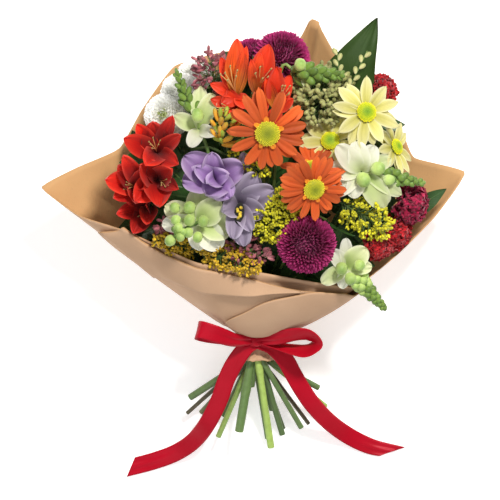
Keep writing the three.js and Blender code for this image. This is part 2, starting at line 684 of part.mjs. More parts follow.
function pomponPetals(flower) {
  const r = flower.radius;
  const petals = Array.from({ length: POMPON_PETALS }, (_, i) => {
    const share = (i + 0.5) / POMPON_PETALS;
    const polar = Math.acos(1 - share * 1.22);
    const root = 0.36 * r * Math.sin(polar);
    const height = 0.3 * r * Math.cos(polar) + 0.04 * r;
    const rise = 90 - THREE.MathUtils.radToDeg(polar) * 0.92;
    const shape = { length: r * 0.66, width: r * 0.34, rise };
    return petal(flower, i * GOLDEN_ANGLE, root, height, shape, quill);
  });
  grow(flower.name, petals);
}

function trumpetCore(flower) {
  addCore(flower, flower.colour, [[0, -6], [3.4, -1], [0, 4]], 6, -6);
}

function trumpetPetals(flower) {
  const petals = Array.from({ length: 6 }, (_, i) => {
    const inner = i % 2;
    return petal(flower, (i / 6) * 2 * Math.PI + 0.3, 0.6, -1 + inner * 1.4, {
      length: flower.radius * (inner ? 1.3 : 1.22),
      width: flower.radius * (inner ? 0.46 : 0.72),
      rise: inner ? 66 : 62,
      curl: -34,
      cup: inner ? 0.2 : 0.32,
      stations: [0.4, 0.8],
      profile: [0.6, 1],
    });
  });
  const stamen = { length: flower.radius, width: 1.8, rise: 76 };
  const stamens = Array.from({ length: 3 }, (_, i) =>
    petal(flower, (i / 3) * 2 * Math.PI + 0.9, 0.2, 0.5, stamen, quill),
  );
  grow(flower.name, [...petals, ...stamens]);
}

function rosetteCore(flower) {
  const r = flower.radius * 0.3;
  addCore(flower, flower.colour, [[0, -0.9 * r], [r, -0.1 * r], [0, r * 0.5]], 7, -0.9 * r);
}

function rosettePetals(flower) {
  const r = flower.radius;
  const petals = Array.from({ length: flower.petals }, (_, i) => {
    const share = i / (flower.petals - 1);
    const root = 0.12 * r;
    return petal(flower, i * GOLDEN_ANGLE, root, r * (0.18 * (1 - share) - 0.1), {
      length: r * (0.62 + 0.33 * share),
      width: r * (0.62 + 0.3 * share),
      rise: 74 - 56 * share,
      curl: -14,
      cup: 0.34,
      wave: r * 0.06,
      stations: [0.45, 0.88],
      profile: [0.8, 1],
    });
  });
  grow(flower.name, petals);
}

// A snapdragon spike: a stalk with buds that shrink to the tip and open florets at its foot.
function spikeParts(spike) {
  const base = at(spike.base);
  const along = at(spike.tip).sub(base);
  return { base, along, length: along.length(), place: facing(base, along) };
}

function snapdragonCore(spike) {
  const { base, along, length, place } = spikeParts(spike);
  const stalk = turned([[0, 0], [2.4, 0], [1.7, length * 0.6], [0, length]], 5);
  keep(spike.name, "snapdragon", solid(stalk.applyMatrix4(place)));
  needsStem(base, along, 4);
}

const [FLORET_LENGTH, FLORET_WIDTH] = [0.66, 0.56];
function snapdragonBuds(spike) {
  const { length, place } = spikeParts(spike);
  const count = Math.round(length / 6);
  const open = Array.from({ length: 6 }, (_, i) => {
    const turn = i * 2 * GOLDEN_ANGLE;
    const shape = {
      length: spike.width * FLORET_LENGTH,
      width: spike.width * FLORET_WIDTH,
      rise: 28 + (i % 2) * 16,
      curl: -16,
      cup: 0.25,
      wave: 1,
      stations: [0.5, 0.88],
      profile: [0.85, 0.95],
    };
    return [1, 0.8, 0.6].flatMap((size) =>
      [0, 16, 32].map((fold) => () =>
        blade({ ...shape, rise: shape.rise + fold, length: shape.length * size })
          .translate(0.5 + 0.13 * i, 0, 2.5 + i * 1.3)
          .applyMatrix4(new THREE.Matrix4().makeRotationZ(turn))
          .applyMatrix4(place),
      ),
    );
  });
  const buds = Array.from({ length: count }, (_, i) => {
    const share = (i + 1) / (count + 0.5);
    const size = spike.width * (0.23 - 0.15 * share);
    const turn = i * GOLDEN_ANGLE;
    return [1, 0.75].map((fit) => () =>
      new THREE.OctahedronGeometry(size * fit * 1.15)
        .scale(1, 1, 1.3)
        .rotateY(0.6)
        .translate(size * 0.66 + 0.8, 0, length * (0.3 + 0.68 * share))
        .applyMatrix4(new THREE.Matrix4().makeRotationZ(turn))
        .applyMatrix4(place),
    );
  });
  grow(spike.name, [...open, ...buds]);
}

// A plume of small florets over a slimmer core.
function plumeCore(plume) {
  const { base, along, length, place } = spikeParts(plume);
  const r = plume.width * 0.3;
  const stalk = [[0, 0], [1.4, 0], [1.6, length * 0.16]];
  const profile = [...stalk, [r, length * 0.45], [r * 0.8, length * 0.8], [0, length]];
  keep(plume.name, plume.colour, solid(turned(profile, 6).applyMatrix4(place)));
  needsStem(base, along, 2.2, true);
}

function plumeFlorets(plume) {
  const { length, place } = spikeParts(plume);
  const size = THREE.MathUtils.clamp(plume.width * 0.15, 1.9, 3.4);
  const florets = Array.from({ length: plume.florets }, (_, i) => {
    const share = (i + 0.5) / plume.florets;
    const bulge = Math.sin(Math.PI * (0.2 + 0.72 * share)) ** 0.7;
    const reach = plume.width * 0.3 * bulge + size * 0.35;
    const shape = { length: size * 2.7, width: size * 2, rise: 70 * share - 20 };
    return [1, 0.8].map((fit) => () =>
      quill(shape)
        .translate((reach - size * 1.3) * fit, 0, length * (0.3 + 0.68 * share))
        .applyMatrix4(new THREE.Matrix4().makeRotationZ(i * GOLDEN_ANGLE))
        .applyMatrix4(place),
    );
  });
  grow(plume.name, florets);
}

function leafGeometry(base, tip, up, width) {
  const along = tip.clone().sub(base);
  const side = up.clone().cross(along).normalize();
  const normal = along.clone().cross(side).normalize();
  const turn = new THREE.Matrix4().makeBasis(along.clone().normalize(), side, normal).setPosition(base);
  return blade({
    length: along.length(),
    width,
    cup: 0.16,
    rise: 5,
    curl: -10,
    stations: [0.25, 0.65],
    profile: [0.9, 0.85],
  }).applyMatrix4(turn);
}

function addLeaf(leaf) {
  const [base, tip] = [at(leaf.base), at(leaf.tip)];
  const geometry = leafGeometry(base, tip, new THREE.Vector3(...leaf.up), leaf.width);
  keep(leaf.name, "leaf", solid(geometry));
  needsStem(base, tip.sub(base), 2.2, true);
}

function foliageCore(spray) {
  const { base, along, length, place } = spikeParts(spray);
  const stalk = turned([[0, 0], [1.5, 0], [1, length * 0.7], [0, length]], 5);
  keep(spray.name, "leaf", solid(stalk.applyMatrix4(place)));
  needsStem(base, along, 2.2, true);
}

function foliageLeaves(spray) {
  const { base, along, length } = spikeParts(spray);
  const direction = along.clone().normalize();
  const across = direction.clone().cross(new THREE.Vector3(0, 0, 1)).normalize();
  const leaves = Array.from({ length: spray.leaves }, (_, i) => {
    const root = base.clone().addScaledVector(along, 0.12 + (0.8 * i) / spray.leaves);
    const side = i % 2 ? 1 : -1;
    const long = Math.min(34, length * 0.5);
    return [1, 0.75, 0.5].flatMap((size) =>
      [0.1, 0.4, -0.15].map((lift) => () => {
        const tip = root
          .clone()
          .addScaledVector(direction, long * size * 0.72)
          .addScaledVector(across, side * long * size * 0.6)
          .add(new THREE.Vector3(0, 0, lift * long));
        return leafGeometry(root, tip, new THREE.Vector3(0, 0, 1), 16 * size);
      }),
    );
  });
  grow(spray.name, leaves);
}

addPaper();
keep("ribbon", "ribbon", ribbonSolid());
DAISIES.forEach(daisyCore);
POMPONS.forEach(pomponCore);
TRUMPETS.forEach(trumpetCore);
ROSETTES.forEach(rosetteCore);
SNAPDRAGONS.forEach(snapdragonCore);
PLUMES.forEach(plumeCore);
LEAVES.forEach(addLeaf);
FOLIAGE.forEach(foliageCore);
keep("stems", "stem", stemsSolid().simplify(STEM_TRIM));

DAISIES.forEach(daisyPetals);
ROSETTES.forEach(rosettePetals);
SNAPDRAGONS.forEach(snapdragonBuds);
TRUMPETS.forEach(trumpetPetals);
POMPONS.forEach(pomponPetals);
PLUMES.forEach(plumeFlorets);
FOLIAGE.forEach(foliageLeaves);

const bouquet = new THREE.Group();
nodes.forEach(({ name, colour, solid: made }) => {
  const { vertProperties, triVerts } = made.getMesh();
  const geometry = new THREE.BufferGeometry();
  geometry.setAttribute("position", new THREE.BufferAttribute(vertProperties, 3));
  geometry.setIndex(new THREE.BufferAttribute(triVerts, 1));
  geometry.computeVertexNormals();
  const material = new THREE.MeshStandardMaterial({ color: COLOURS[colour], roughness: 0.7, metalness: 0 });
  const mesh = new THREE.Mesh(geometry, material);
  mesh.name = name;
  bouquet.add(mesh);
});

export default bouquet;
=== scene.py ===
# Mixed flower bouquet in a kraft paper wrap with a red satin bow, lying on its back.
# Shapes are worked out in millimetres, with y counted from the tie, and placed in metres.

import math

import bmesh
import bpy
import numpy as np
from mathutils import Matrix, Vector


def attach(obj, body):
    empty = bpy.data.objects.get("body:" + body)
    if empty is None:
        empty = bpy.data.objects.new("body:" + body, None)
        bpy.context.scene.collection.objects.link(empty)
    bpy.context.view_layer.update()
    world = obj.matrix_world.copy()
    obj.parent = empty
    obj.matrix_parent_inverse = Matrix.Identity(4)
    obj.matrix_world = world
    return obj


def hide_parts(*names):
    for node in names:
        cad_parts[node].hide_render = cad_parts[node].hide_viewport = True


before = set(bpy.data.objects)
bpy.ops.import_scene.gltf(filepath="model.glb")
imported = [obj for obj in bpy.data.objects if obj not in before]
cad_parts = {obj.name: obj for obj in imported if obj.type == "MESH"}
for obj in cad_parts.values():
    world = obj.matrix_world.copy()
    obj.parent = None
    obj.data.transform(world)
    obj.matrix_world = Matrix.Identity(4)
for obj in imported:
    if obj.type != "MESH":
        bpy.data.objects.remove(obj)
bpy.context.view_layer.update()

MM = 0.001
TIE_X, TIE_Y, TIE_HEIGHT = -4.0, -140.0, 50.0  # the middle of the neck at the tie, in the frame
NECK_RADIUS = 16.0
NECK_FRONT = 6.0  # from the tie to where the paper starts to spread
SKIRT = 21.0  # length of the gathered paper below the neck
PAPER = 0.8
FLAP_FOOT = 0.16  # the row where both flaps start, just above the tie
LAYER, LAYER_SPREAD = 2.0, 1.8  # how far a fold lies outside the last, and how much more at the rim
CORE_RADIUS, CORE_BACK = 14.4, -12.0  # the round that the cut stems fill, and where they start
BUNDLE_FRONT = 44.0  # where the bundle of stems ends towards the blooms
BUNDLE_SPREAD, BUNDLE_RISE = (27.0, 19.0), 14.0  # its half width and height there, and its rise
# The bundle's solid middle: each ring's way along, half width, half height and rise.
CORE_RINGS = [
    (CORE_BACK, 0, 0, 0), (CORE_BACK, 12, 12, 0), (9, 12, 12, 0),
    (BUNDLE_FRONT - 6, 18, 13, 12), (BUNDLE_FRONT - 6, 0, 0, 12),
]
RIBBON_WIDTH, RIBBON_THICK = 16.0, 0.7
KNOT_TAKES = 40.0  # the ribbon's length inside the knot
KNOT_SIZE = (8.5, 6.0, 5.6)
# Points of the paper round and along, for the wrap, its skirt and its flaps.
WRAP_COLUMNS, WRAP_ROWS, SKIRT_ROWS, FLAP_COLUMNS, FLAP_ROWS = 180, 44, 13, 60, 28
DISC_FLORETS = 230
POMPON_PETALS = {"purple": 430, "white": 260}
CARNATION_PETALS = 84
STAMENS = 6
LISIANTHUS_DEPTH = 12
THROAT, THROAT_ANTHERS = (-19, 118, 152.5), 7  # the opening of the paler lisianthus, darkened by a near-black ball as painted shade
LEAF_SPACING = 7  # along a leafy stem
STEM_RADIUS, TWIG_RADIUS = 1.6, 1.1
STRAIGHT_END = 14  # how far below its bloom a stem stops bending
GOLDEN_ANGLE = math.pi * (3 - math.sqrt(5))
UP = np.array([0.0, 0.0, 1.0])

# Camera and light.
CAMERA_DISTANCE = 3.0  # above the middle of the flowers' height
VIEW_HEIGHT = 0.12
VIEW_CENTRE = (-0.0095, -0.0545)
VIEW_WIDTH = 0.450  # what the picture spans at that height
FLOOR_GLOW = 0.40  # a light table's faint glow, which keeps the floor's shadows pale
AIR_GLOW = 0.42
SENSOR = 36

# Every bloom: its centre from the tie, the way it faces, and the radius to its petal tips, which
# only the lisianthus do without.
DAISIES = [
    ("orange_daisy_1", "orange", (6, 188, 184), (0.05, -0.2, 1), 37),
    ("orange_daisy_2", "orange", (47, 139, 182), (0.3, -0.35, 0.87), 32),
    ("orange_daisy_3", "orange", (46, 157, 160), (0, 0.45, 0.88), 30),
    ("cream_daisy_1", "cream", (94, 208, 160), (0.25, 0.1, 0.95), 33),
    ("cream_daisy_2", "cream", (62, 183, 148), (-0.1, 0.25, 0.95), 31),
    ("cream_daisy_3", "cream", (122, 178, 134), (0.75, 0.25, 0.6), 27),
]
POMPONS = [
    ("purple_mum_1", "purple", (19, 258, 118), (0.1, 0.45, 0.85), 28),
    ("purple_mum_2", "purple", (-8, 259, 92), (-0.1, 0.7, 0.65), 22),
    ("purple_mum_3", "purple", (41, 91, 150), (0, -0.3, 0.95), 29),
    ("white_mum_1", "white", (-84, 206, 119), (-0.25, 0.05, 0.97), 23),
    ("white_mum_2", "white", (-72, 228, 113), (-0.35, 0.3, 0.88), 20),
    ("white_mum_3", "white", (-59, 242, 100), (-0.2, 0.5, 0.84), 19),
]
TRUMPETS = [
    ("red_alstroemeria_1", "red", (-94, 178, 138), (-0.05, 0.35, 0.93), 32),
    ("red_alstroemeria_2", "red", (-116, 143, 126), (-0.5, -0.05, 0.85), 26),
    ("red_alstroemeria_3", "red", (-87, 146, 136), (0.3, -0.2, 0.93), 29),
    ("red_alstroemeria_4", "red", (-106, 118, 112), (-0.35, -0.45, 0.8), 20),
    ("scarlet_alstroemeria_1", "scarlet", (-24, 230, 156), (-0.2, 0.55, 0.8), 33),
    ("scarlet_alstroemeria_2", "scarlet", (-2, 232, 154), (0.2, 0.55, 0.8), 33),
    ("scarlet_alstroemeria_3", "scarlet", (17, 218, 158), (0.3, 0.55, 0.79), 27),
    ("scarlet_alstroemeria_4", "scarlet", (-28, 212, 152), (-0.5, -0.1, 0.85), 25),
]
# A daisy's whorls, the front one first: how many petals, their rise, height, length, width and
# material. The small third whorl of the orange ones is golden.
DAISY_WHORLS = {
    "orange": [
        (13, 3, -2.6, 1.0, 0.25, 0), (10, 0, -3.4, 0.96, 0.24, 0), (5, 20, -1.4, 0.42, 0.13, 2),
    ],
    "cream": [(9, 7, -2.6, 1.0, 0.38, 0), (6, -4, -3.6, 0.95, 0.36, 0)],
}
DISC_SHARE = {"orange": 0.30, "cream": 0.27}
# The disc under the florets: how far out and how high, as shares of its radius.
DISC_DOME = [
    (0.0, 0.40), (0.3, 0.42), (0.6, 0.36), (0.85, 0.22), (0.97, 0.02), (0.9, -0.04), (0.0, -0.04),
]
TRUMPET_DEPTH = {"red": 16, "scarlet": 12}  # from the centre down to where the tepals join
LISIANTHUS = [
    ("lisianthus_1", "lavender", (-42, 147, 160), (-0.05, -0.15, 1)),
    ("lisianthus_2", "pale_lavender", (-16, 121, 150), (0.3, -0.4, 0.85)),
]
CARNATIONS = [
    ("red_carnation_1", "red", (109, 230, 104), (0.5, 0.4, 0.77), 17),
    ("red_carnation_2", "red", (104, 90, 130), (0.3, -0.3, 0.9), 16),
    ("red_carnation_3", "red", (120, 101, 112), (0.6, -0.3, 0.75), 19),
    ("crimson_carnation_1", "crimson", (134, 128, 118), (0.6, -0.1, 0.8), 21),
]
# Each spike also has the number of small buds at its end, the radius of the largest, their
# stretch and the share of the spike below them.
SNAPDRAGONS = [
    ("snapdragon_1", (-52, 186, 140), (-76, 246, 150), 20, 4.8, 1.7, 0.42),
    ("snapdragon_2", (31, 243, 146), (74, 241, 156), 26, 6.2, 1.7, 0.05),
    ("snapdragon_3", (82, 157, 146), (147, 145, 140), 22, 5.4, 1.2, 0.44),
    ("snapdragon_4", (-52, 112, 134), (-77, 100, 170), 4, 4.6, 1.05, 0.84),
    ("snapdragon_5", (72, 76, 132), (112, 32, 134), 36, 5.6, 1.05, 0.36),
]
# Blooms whose petals are placed one by one: where each tip lies, its width, and 1 where the
# petal is of the bloom's other kind, paler or streaked.
PLACED_PETALS = {
    "snapdragon_1": [
        ((-42, 227, 150), 18, 0), ((-54, 234, 142), 17, 0), ((-78, 206, 142), 16, 0),
        ((-38, 188, 158), 13, 1), ((-64, 176, 154), 15, 1),
    ],
    "snapdragon_2": [
        ((34, 257, 154), 10, 0), ((44, 228, 146), 8, 0),
    ],
    "snapdragon_3": [
        ((66, 180, 162), 21, 1), ((84, 184, 160), 22, 1), ((102, 180, 156), 20, 1),
        ((118, 168, 144), 16, 0), ((58, 158, 154), 20, 1), ((62, 134, 148), 19, 1),
        ((80, 131, 150), 18, 1), ((113, 122, 140), 24, 0), ((128, 134, 138), 15, 0),
    ],
    "snapdragon_4": [
        ((-25, 103, 142), 28, 0), ((-34, 130, 150), 26, 0), ((-56, 142, 144), 24, 0),
        ((-87, 126, 142), 22, 0), ((-90, 108, 142), 18, 1), ((-36, 86, 140), 26, 1),
        ((-54, 84, 140), 22, 1),
    ],
    "snapdragon_5": [
        ((76, 98, 142), 13, 1), ((62, 86, 142), 16, 1), ((96, 88, 146), 22, 0),
        ((101, 70, 140), 15, 0), ((53, 55, 138), 16, 0), ((72, 50, 138), 13, 1),
    ],
    "red_alstroemeria_1": [
        ((-97, 202, 142), 26, 1), ((-112, 200, 144), 17, 0), ((-125, 186, 150), 22, 0),
        ((-77, 208, 150), 16, 1), ((-68, 190, 156), 16, 0), ((-70, 160, 154), 19, 0),
        ((-104, 158, 158), 22, 0),
    ],
    "red_alstroemeria_2": [
        ((-129, 163, 138), 24, 1), ((-108, 160, 142), 24, 0), ((-142, 149, 138), 24, 0),
        ((-100, 140, 142), 22, 0), ((-112, 125, 136), 25, 0), ((-134, 131, 130), 20, 1),
        ((-124, 173, 146), 18, 0),
    ],
    "red_alstroemeria_3": [
        ((-98, 168, 146), 20, 1), ((-110, 163, 152), 25, 0), ((-76, 160, 156), 22, 0),
        ((-70, 138, 152), 16, 1), ((-114, 127, 142), 26, 0), ((-90, 121, 150), 28, 0),
    ],
    "red_alstroemeria_4": [
        ((-123, 132, 122), 18, 1), ((-106, 126, 126), 17, 1), ((-132, 117, 120), 18, 1),
        ((-103, 106, 126), 18, 0), ((-116, 98, 120), 20, 1),
    ],
    "scarlet_alstroemeria_1": [
        ((-21, 275, 170), 24, 1), ((-12, 268, 172), 13, 1), ((-36, 258, 158), 16, 0),
        ((-46, 234, 156), 13, 0), ((-36, 214, 154), 17, 0), ((-8, 210, 160), 15, 0),
    ],
    "scarlet_alstroemeria_2": [
        ((8, 270, 162), 26, 0), ((0, 262, 172), 13, 1), ((-9, 256, 176), 12, 1),
        ((20, 248, 162), 17, 0), ((6, 208, 154), 17, 0),
    ],
    "scarlet_alstroemeria_3": [
        ((14, 250, 170), 20, 0), ((27, 242, 160), 17, 0), ((4, 240, 168), 13, 1),
        ((30, 220, 160), 16, 0), ((12, 196, 156), 15, 0),
    ],
    "scarlet_alstroemeria_4": [
        ((-46, 220, 154), 15, 0), ((-40, 202, 156), 15, 1), ((-22, 196, 158), 15, 0),
        ((-12, 216, 158), 14, 1), ((-30, 230, 154), 15, 0),
    ],
    "lisianthus_1": [
        ((-67, 174, 160), 30, 0), ((-72, 151, 160), 28, 0), ((-52, 135, 160), 36, 0),
        ((-28, 128, 158), 26, 0), ((-12, 158, 162), 28, 0), ((-40, 175, 168), 22, 0),
        ((-58, 164, 172), 18, 0), ((-26, 150, 172), 20, 0), ((-50, 146, 174), 18, 0),
    ],
    "lisianthus_2": [
        ((-9, 174, 148), 16, 0), ((2, 154, 156), 26, 0), ((16, 136, 154), 26, 0),
        ((-38, 122, 158), 22, 0), ((4, 112, 152), 22, 0), ((-29, 93, 156), 19, 0),
        ((-10, 98, 158), 17, 0), ((-19, 86, 148), 22, 0),
    ],
}
# The large round buds between the petals and the spike's end, each with its radius.
SNAP_BUDS = {
    "snapdragon_1": [((-56, 205, 158), 6.6)],
    "snapdragon_2": [((35, 250, 158), 6.0)],
    "snapdragon_3": [((91, 148, 158), 7.2), ((104, 158, 157), 6.6), ((114, 148, 152), 5.2)],
    "snapdragon_4": [
        ((-51, 111, 158), 5.8), ((-63, 123, 160), 6.2), ((-63, 112, 166), 5.8),
        ((-76, 123, 158), 5.2), ((-75, 112, 163), 5.0), ((-73, 105, 166), 4.8),
        ((-64, 101, 164), 5.0), ((-56, 97, 156), 5.2), ((-71, 97, 166), 4.4),
        ((-80, 94, 164), 5.4),
    ],
    "snapdragon_5": [((72, 69, 152), 6.4), ((80, 60, 148), 6.0), ((88, 72, 148), 5.2)],
}
PLUMES = [
    ("goldenrod_1", "goldenrod", (2, 95, 134), (26, 134, 160), 36, 1500),
    ("goldenrod_2", "gold", (-58, 86, 120), (-1, 69, 148), 21, 720),
    ("goldenrod_3", "gold", (-56, 84, 114), (-95, 95, 125), 17, 400),
    ("goldenrod_4", "goldenrod", (72, 128, 138), (114, 102, 150), 32, 600),
    ("goldenrod_5", "goldenrod", (-34, 172, 142), (8, 152, 160), 17, 200),
    ("pink_buds_1", "pink", (-40, 230, 124), (-46, 258, 152), 36, 170),
    ("pink_buds_2", "pink", (-32, 93, 126), (5, 79, 149), 24, 110),
    ("pink_buds_3", "pink", (-84, 110, 110), (-90, 104, 130), 14, 30),
    ("seed_spray_1", "seed", (54, 214, 126), (56, 234, 152), 55, 470),
    ("yellow_buds_1", "bud", (-30, 178, 146), (-32, 208, 166), 26, 34),
]
# Of each kind of plume: its slot's name, a bud's radius and stretch, its rows and sides, how many
# buds stand in a tuft, and the tuft's radius.
PLUME_HABITS = {
    "goldenrod": ("goldenrod", 1.32, 1.15, 5, 6, 7, 2.7),
    "gold": ("goldenrod", 1.32, 1.15, 5, 6, 7, 2.7),
    "pink": ("pink_bud", 1.7, 2.1, 6, 7, 3, 2.6),
    "seed": ("seed_bud", 2.2, 1.5, 7, 8, 3, 3.6),
    "bud": ("yellow_bud", 2.5, 2.3, 9, 9, 1, 0.0),
}
LEAVES = [
    ("broad_leaf", (66, 208, 112), (105, 294, 132), (-0.2, 0, 1), 46),
    ("side_leaf", (128, 116, 104), (168, 141, 110), (0, -0.3, 1), 18),
    ("front_leaf", (60, 112, 124), (84, 98, 146), (0.3, -0.9, 0.5), 16),
]
# Two thin sprigs of seed buds that stand in front of the broad leaf, and the buds on each.
SEED_SPRIGS = [((70, 240, 150), (68, 265, 148), 5), ((80, 232, 150), (95, 263, 148), 6)]
# Leafy stems: the main twig, then the branches that fill the gaps under the blooms near it.
FOLIAGE = {
    "foliage_1": [
        ((-40, 134, 60), (-114, 176, 80)), ((-20, 70, 66), (-98, 152, 100)),
        ((-20, 90, 70), (-84, 196, 108)), ((-14, 70, 60), (-110, 116, 92)),
    ],
    "foliage_2": [
        ((-10, 150, 52), (-16, 262, 46)), ((-8, 90, 66), (-52, 230, 108)),
        ((-4, 100, 70), (14, 244, 112)), ((-6, 120, 90), (-20, 206, 132)),
    ],
    "foliage_3": [
        ((36, 130, 56), (102, 206, 64)), ((10, 100, 70), (66, 240, 108)),
        ((14, 90, 72), (94, 190, 112)), ((16, 100, 90), (62, 176, 128)),
    ],
    "foliage_4": [
        ((-34, 104, 92), (-92, 172, 104)), ((-10, 60, 84), (-74, 96, 104)),
        ((-8, 62, 90), (-34, 118, 126)), ((-4, 52, 92), (-24, 84, 108)),
    ],
    "foliage_5": [
        ((50, 116, 92), (112, 168, 100)), ((8, 56, 92), (26, 112, 124)),
        ((14, 56, 92), (78, 84, 112)), ((16, 60, 84), (116, 122, 104)),
        ((2, 50, 96), (34, 62, 112)),
    ],
}
# Where each cut stem ends, its thickness and its shade, from brown over green to yellow-green.
CUT_ENDS = [
    (-65, -51, 34, 6.5, 0.4), (-68, -66.5, 14, 3.8, 0.03), (-55, -65.5, 26, 5, 0.26),
    (-39, -88, 22, 5, 0.86), (-19.5, -82, 40, 8, 0.6), (-8.5, -40, 46, 6.5, 0.45),
    (10, -97, 36, 6.4, 1.0), (20.5, -85.5, 30, 5.8, 0.38), (38, -79, 34, 5.2, 0.48),
    (45, -76, 20, 3.8, 0.02), (54, -42, 36, 5.6, 0.5), (61, -60, 22, 5, 0.93),
    (11, -63, 18, 5.5, 0.4), (-34, -69, 10, 5.5, 0.45), (21, -81, 9, 5.5, 0.4),
    (7, -90, 8, 5.5, 0.5),
]

# The wrap's rim from the back round by the left: the angle at the neck, the rim point, and the
# point that pulls the paper out on its way there.
RIM = [
    (0, (12, 268, 36), (0, 125, -60)),
    (20, (-30, 270, 36), (-16, 122, -58)),
    (40, (-79.5, 255.5, 48), (-42, 115, -50)),
    (60, (-109.5, 214.5, 56), (-64, 100, -24)),
    (76, (-130, 179, 60), (-80, 84, 0)),
    (88, (-168, 161, 74), (-94, 74, 26)),
    (99, (-200, 142, 86), (-100, 66, 48)),
    (112, (-166, 116, 98), (-84, 52, 72)),
    (130, (-122, 102, 112), (-62, 36, 94)),
    (155, (-58, 74, 127), (-34, 16, 108)),
    (180, (-1, 65, 137), (-3, 9, 112)),
    (205, (42, 57, 133), (24, 14, 108)),
    (228, (86, 52, 119), (52, 22, 98)),
    (245, (124, 80, 106), (74, 40, 80)),
    (256, (160, 116, 96), (88, 56, 62)),
    (265, (187, 156, 86), (96, 68, 44)),
    (278, (142, 170, 66), (84, 84, 20)),
    (295, (132, 192, 52), (74, 98, -20)),
    (316, (106, 232, 44), (48, 112, -46)),
    (334, (74, 262, 42), (28, 122, -56)),
    (342, (58, 297, 50), (20, 125, -60)),
    (349, (46, 299, 50), (16, 125, -60)),
    (354, (33, 276, 44), (10, 125, -60)),
]
# The free edge of each flap, and the fold that runs across the left one, as angles and rows.
LEFT_FLAP = [
    (113, 0.8), (116, 0.92), (124, 0.98), (129, 1.02), (134, 1.06),
    (137.5, 1.0), (143, 0.97), (164, 0.97), (194, 0.92), (228, 0.9),
]
RIGHT_FLAP = [
    (155, 0.42), (169, 0.59), (178, 0.71), (189, 0.8), (200, 0.88),
    (212, 0.95), (222, 0.97), (232, 0.93), (242, 0.75), (252, 0.4),
]
CUFF = [(118, 0.6), (135, 0.68), (150, 0.73), (170, 0.8), (182, 0.845), (194, 0.885), (202, 0.91)]
DENT_ANGLE, DENT_ROW, DENT_DEPTH = 199, 0.91, 7  # where the wrap bends in behind the flaps
CUFF_STANDS_OFF = 178  # the angle where the fold stands furthest off the flap
FLAP_SETTLES = 24  # degrees over which a flap's far end comes down to the wrap
# The sharp fold up the middle of the paper's highest point.
RIDGE_ANGLE, RIDGE_DEPTH, RIDGE_HALF = 341.5, 10, 8


def at(point):
    """A point given from the tie, in the frame's axes, still in millimetres."""
    return np.array(point, float) + [0.0, TIE_Y, 0.0]


def unit(vector):
    vector = np.asarray(vector, float)
    return vector / np.linalg.norm(vector)


def seeded(name):
    """A random generator that is the same for the same name in every run."""
    return np.random.default_rng(sum((i + 1) * ord(c) for i, c in enumerate(name)))


def facing(point, direction):
    """The matrix that turns +Z to a direction and moves the origin to a point."""
    turn = Vector((0, 0, 1)).rotation_difference(Vector(unit(direction)))
    matrix = Matrix.Translation(Vector(point)) @ turn.to_matrix().to_4x4()
    return np.array(matrix)


def spin(angle):
    c, s = math.cos(angle), math.sin(angle)
    return np.array([[c, -s, 0, 0], [s, c, 0, 0], [0, 0, 1, 0], [0, 0, 0, 1.0]])


def moved(matrix, points):
    return points @ matrix[:3, :3].T + matrix[:3, 3]


class Growth:
    """Grids of points that become one mesh. Each point keeps how far along and across its own
    petal it lies, and each petal a shade of its own, for the materials to read."""

    def __init__(self, name, place=None):
        self.name, self.place = name, place
        self.points, self.quads, self.marks, self.slots = [], [], [], []
        self.count = 0

    def grid(self, points, shade, slot=0):
        rows, cols = points.shape[:2]
        along, across = np.meshgrid(np.linspace(0, 1, rows), np.linspace(-1, 1, cols), indexing="ij")
        index = self.count + np.arange(rows * cols).reshape(rows, cols)
        corners = [index[:-1, :-1], index[:-1, 1:], index[1:, 1:], index[1:, :-1]]
        self.quads.append(np.stack(corners, -1).reshape(-1, 4))
        self.points.append(points.reshape(-1, 3))
        self.marks.append(np.stack([along, across, np.full_like(along, shade)], -1).reshape(-1, 3))
        self.slots.append(np.full((rows - 1) * (cols - 1), slot))
        self.count += rows * cols

    def put(self, points, shade, slot=0):
        """A grid given from the bloom's middle or the spray's foot, with +Z the way it faces."""
        self.grid(moved(self.place, points), shade, slot)

    def build(self, materials, node, slot_name, weld=False):
        points = np.concatenate(self.points) * MM
        quads = np.concatenate(self.quads)
        mesh = bpy.data.meshes.new(self.name)
        mesh.from_pydata(points.tolist(), [], quads.tolist())
        grow = mesh.attributes.new("grow", "FLOAT_VECTOR", "POINT")
        grow.data.foreach_set("vector", np.concatenate(self.marks).ravel().astype(np.float32))
        mesh.polygons.foreach_set("material_index", np.concatenate(self.slots).astype(np.int32))
        mesh.polygons.foreach_set("use_smooth", np.ones(len(quads), bool))
        for material in materials:
            mesh.materials.append(MATERIALS[material])
        mesh.update()
        piece = bpy.data.objects.new(self.name, mesh)
        bpy.context.scene.collection.objects.link(piece)
        if weld:
            join_seams(piece)
        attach(piece, "root")
        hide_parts(node)
        return piece


def join_seams(piece):
    """Merges points that lie on one another, so that wrapped grids close."""
    work = bmesh.new()
    work.from_mesh(piece.data)
    bmesh.ops.remove_doubles(work, verts=work.verts, dist=2e-6)
    bmesh.ops.recalc_face_normals(work, faces=work.faces)
    work.to_mesh(piece.data)
    work.free()


# Petal outlines: half width from 0 to 1 along the petal.
def swelling(foot, widest, end, taper):
    """From a foot's width round to the widest part, and in again at the end."""

    def outline(t):
        grown = np.sin(np.minimum(t / widest, 1) * math.pi / 2)
        return (foot + (1 - foot) * grown) * np.clip(1 - t**end, 0, 1) ** taper

    return outline


def widening(foot, bend, end):
    """Wider all the way to a round end."""
    return lambda t: (foot + (1 - foot) * t**bend) * np.sqrt(np.clip(1 - t**end, 0, 1))


strap = swelling(0.34, 0.7, 7, 0.5)
tepal = swelling(0.20, 0.66, 3.4, 0.75)
cupped = swelling(0.28, 0.62, 4.6, 0.6)
shell = swelling(0.22, 0.6, 4, 0.5)
pointed = swelling(0.36, 0.6, 3.6, 0.7)
spoon = widening(0.25, 1.4, 9)
fan = widening(0.18, 0.9, 12)


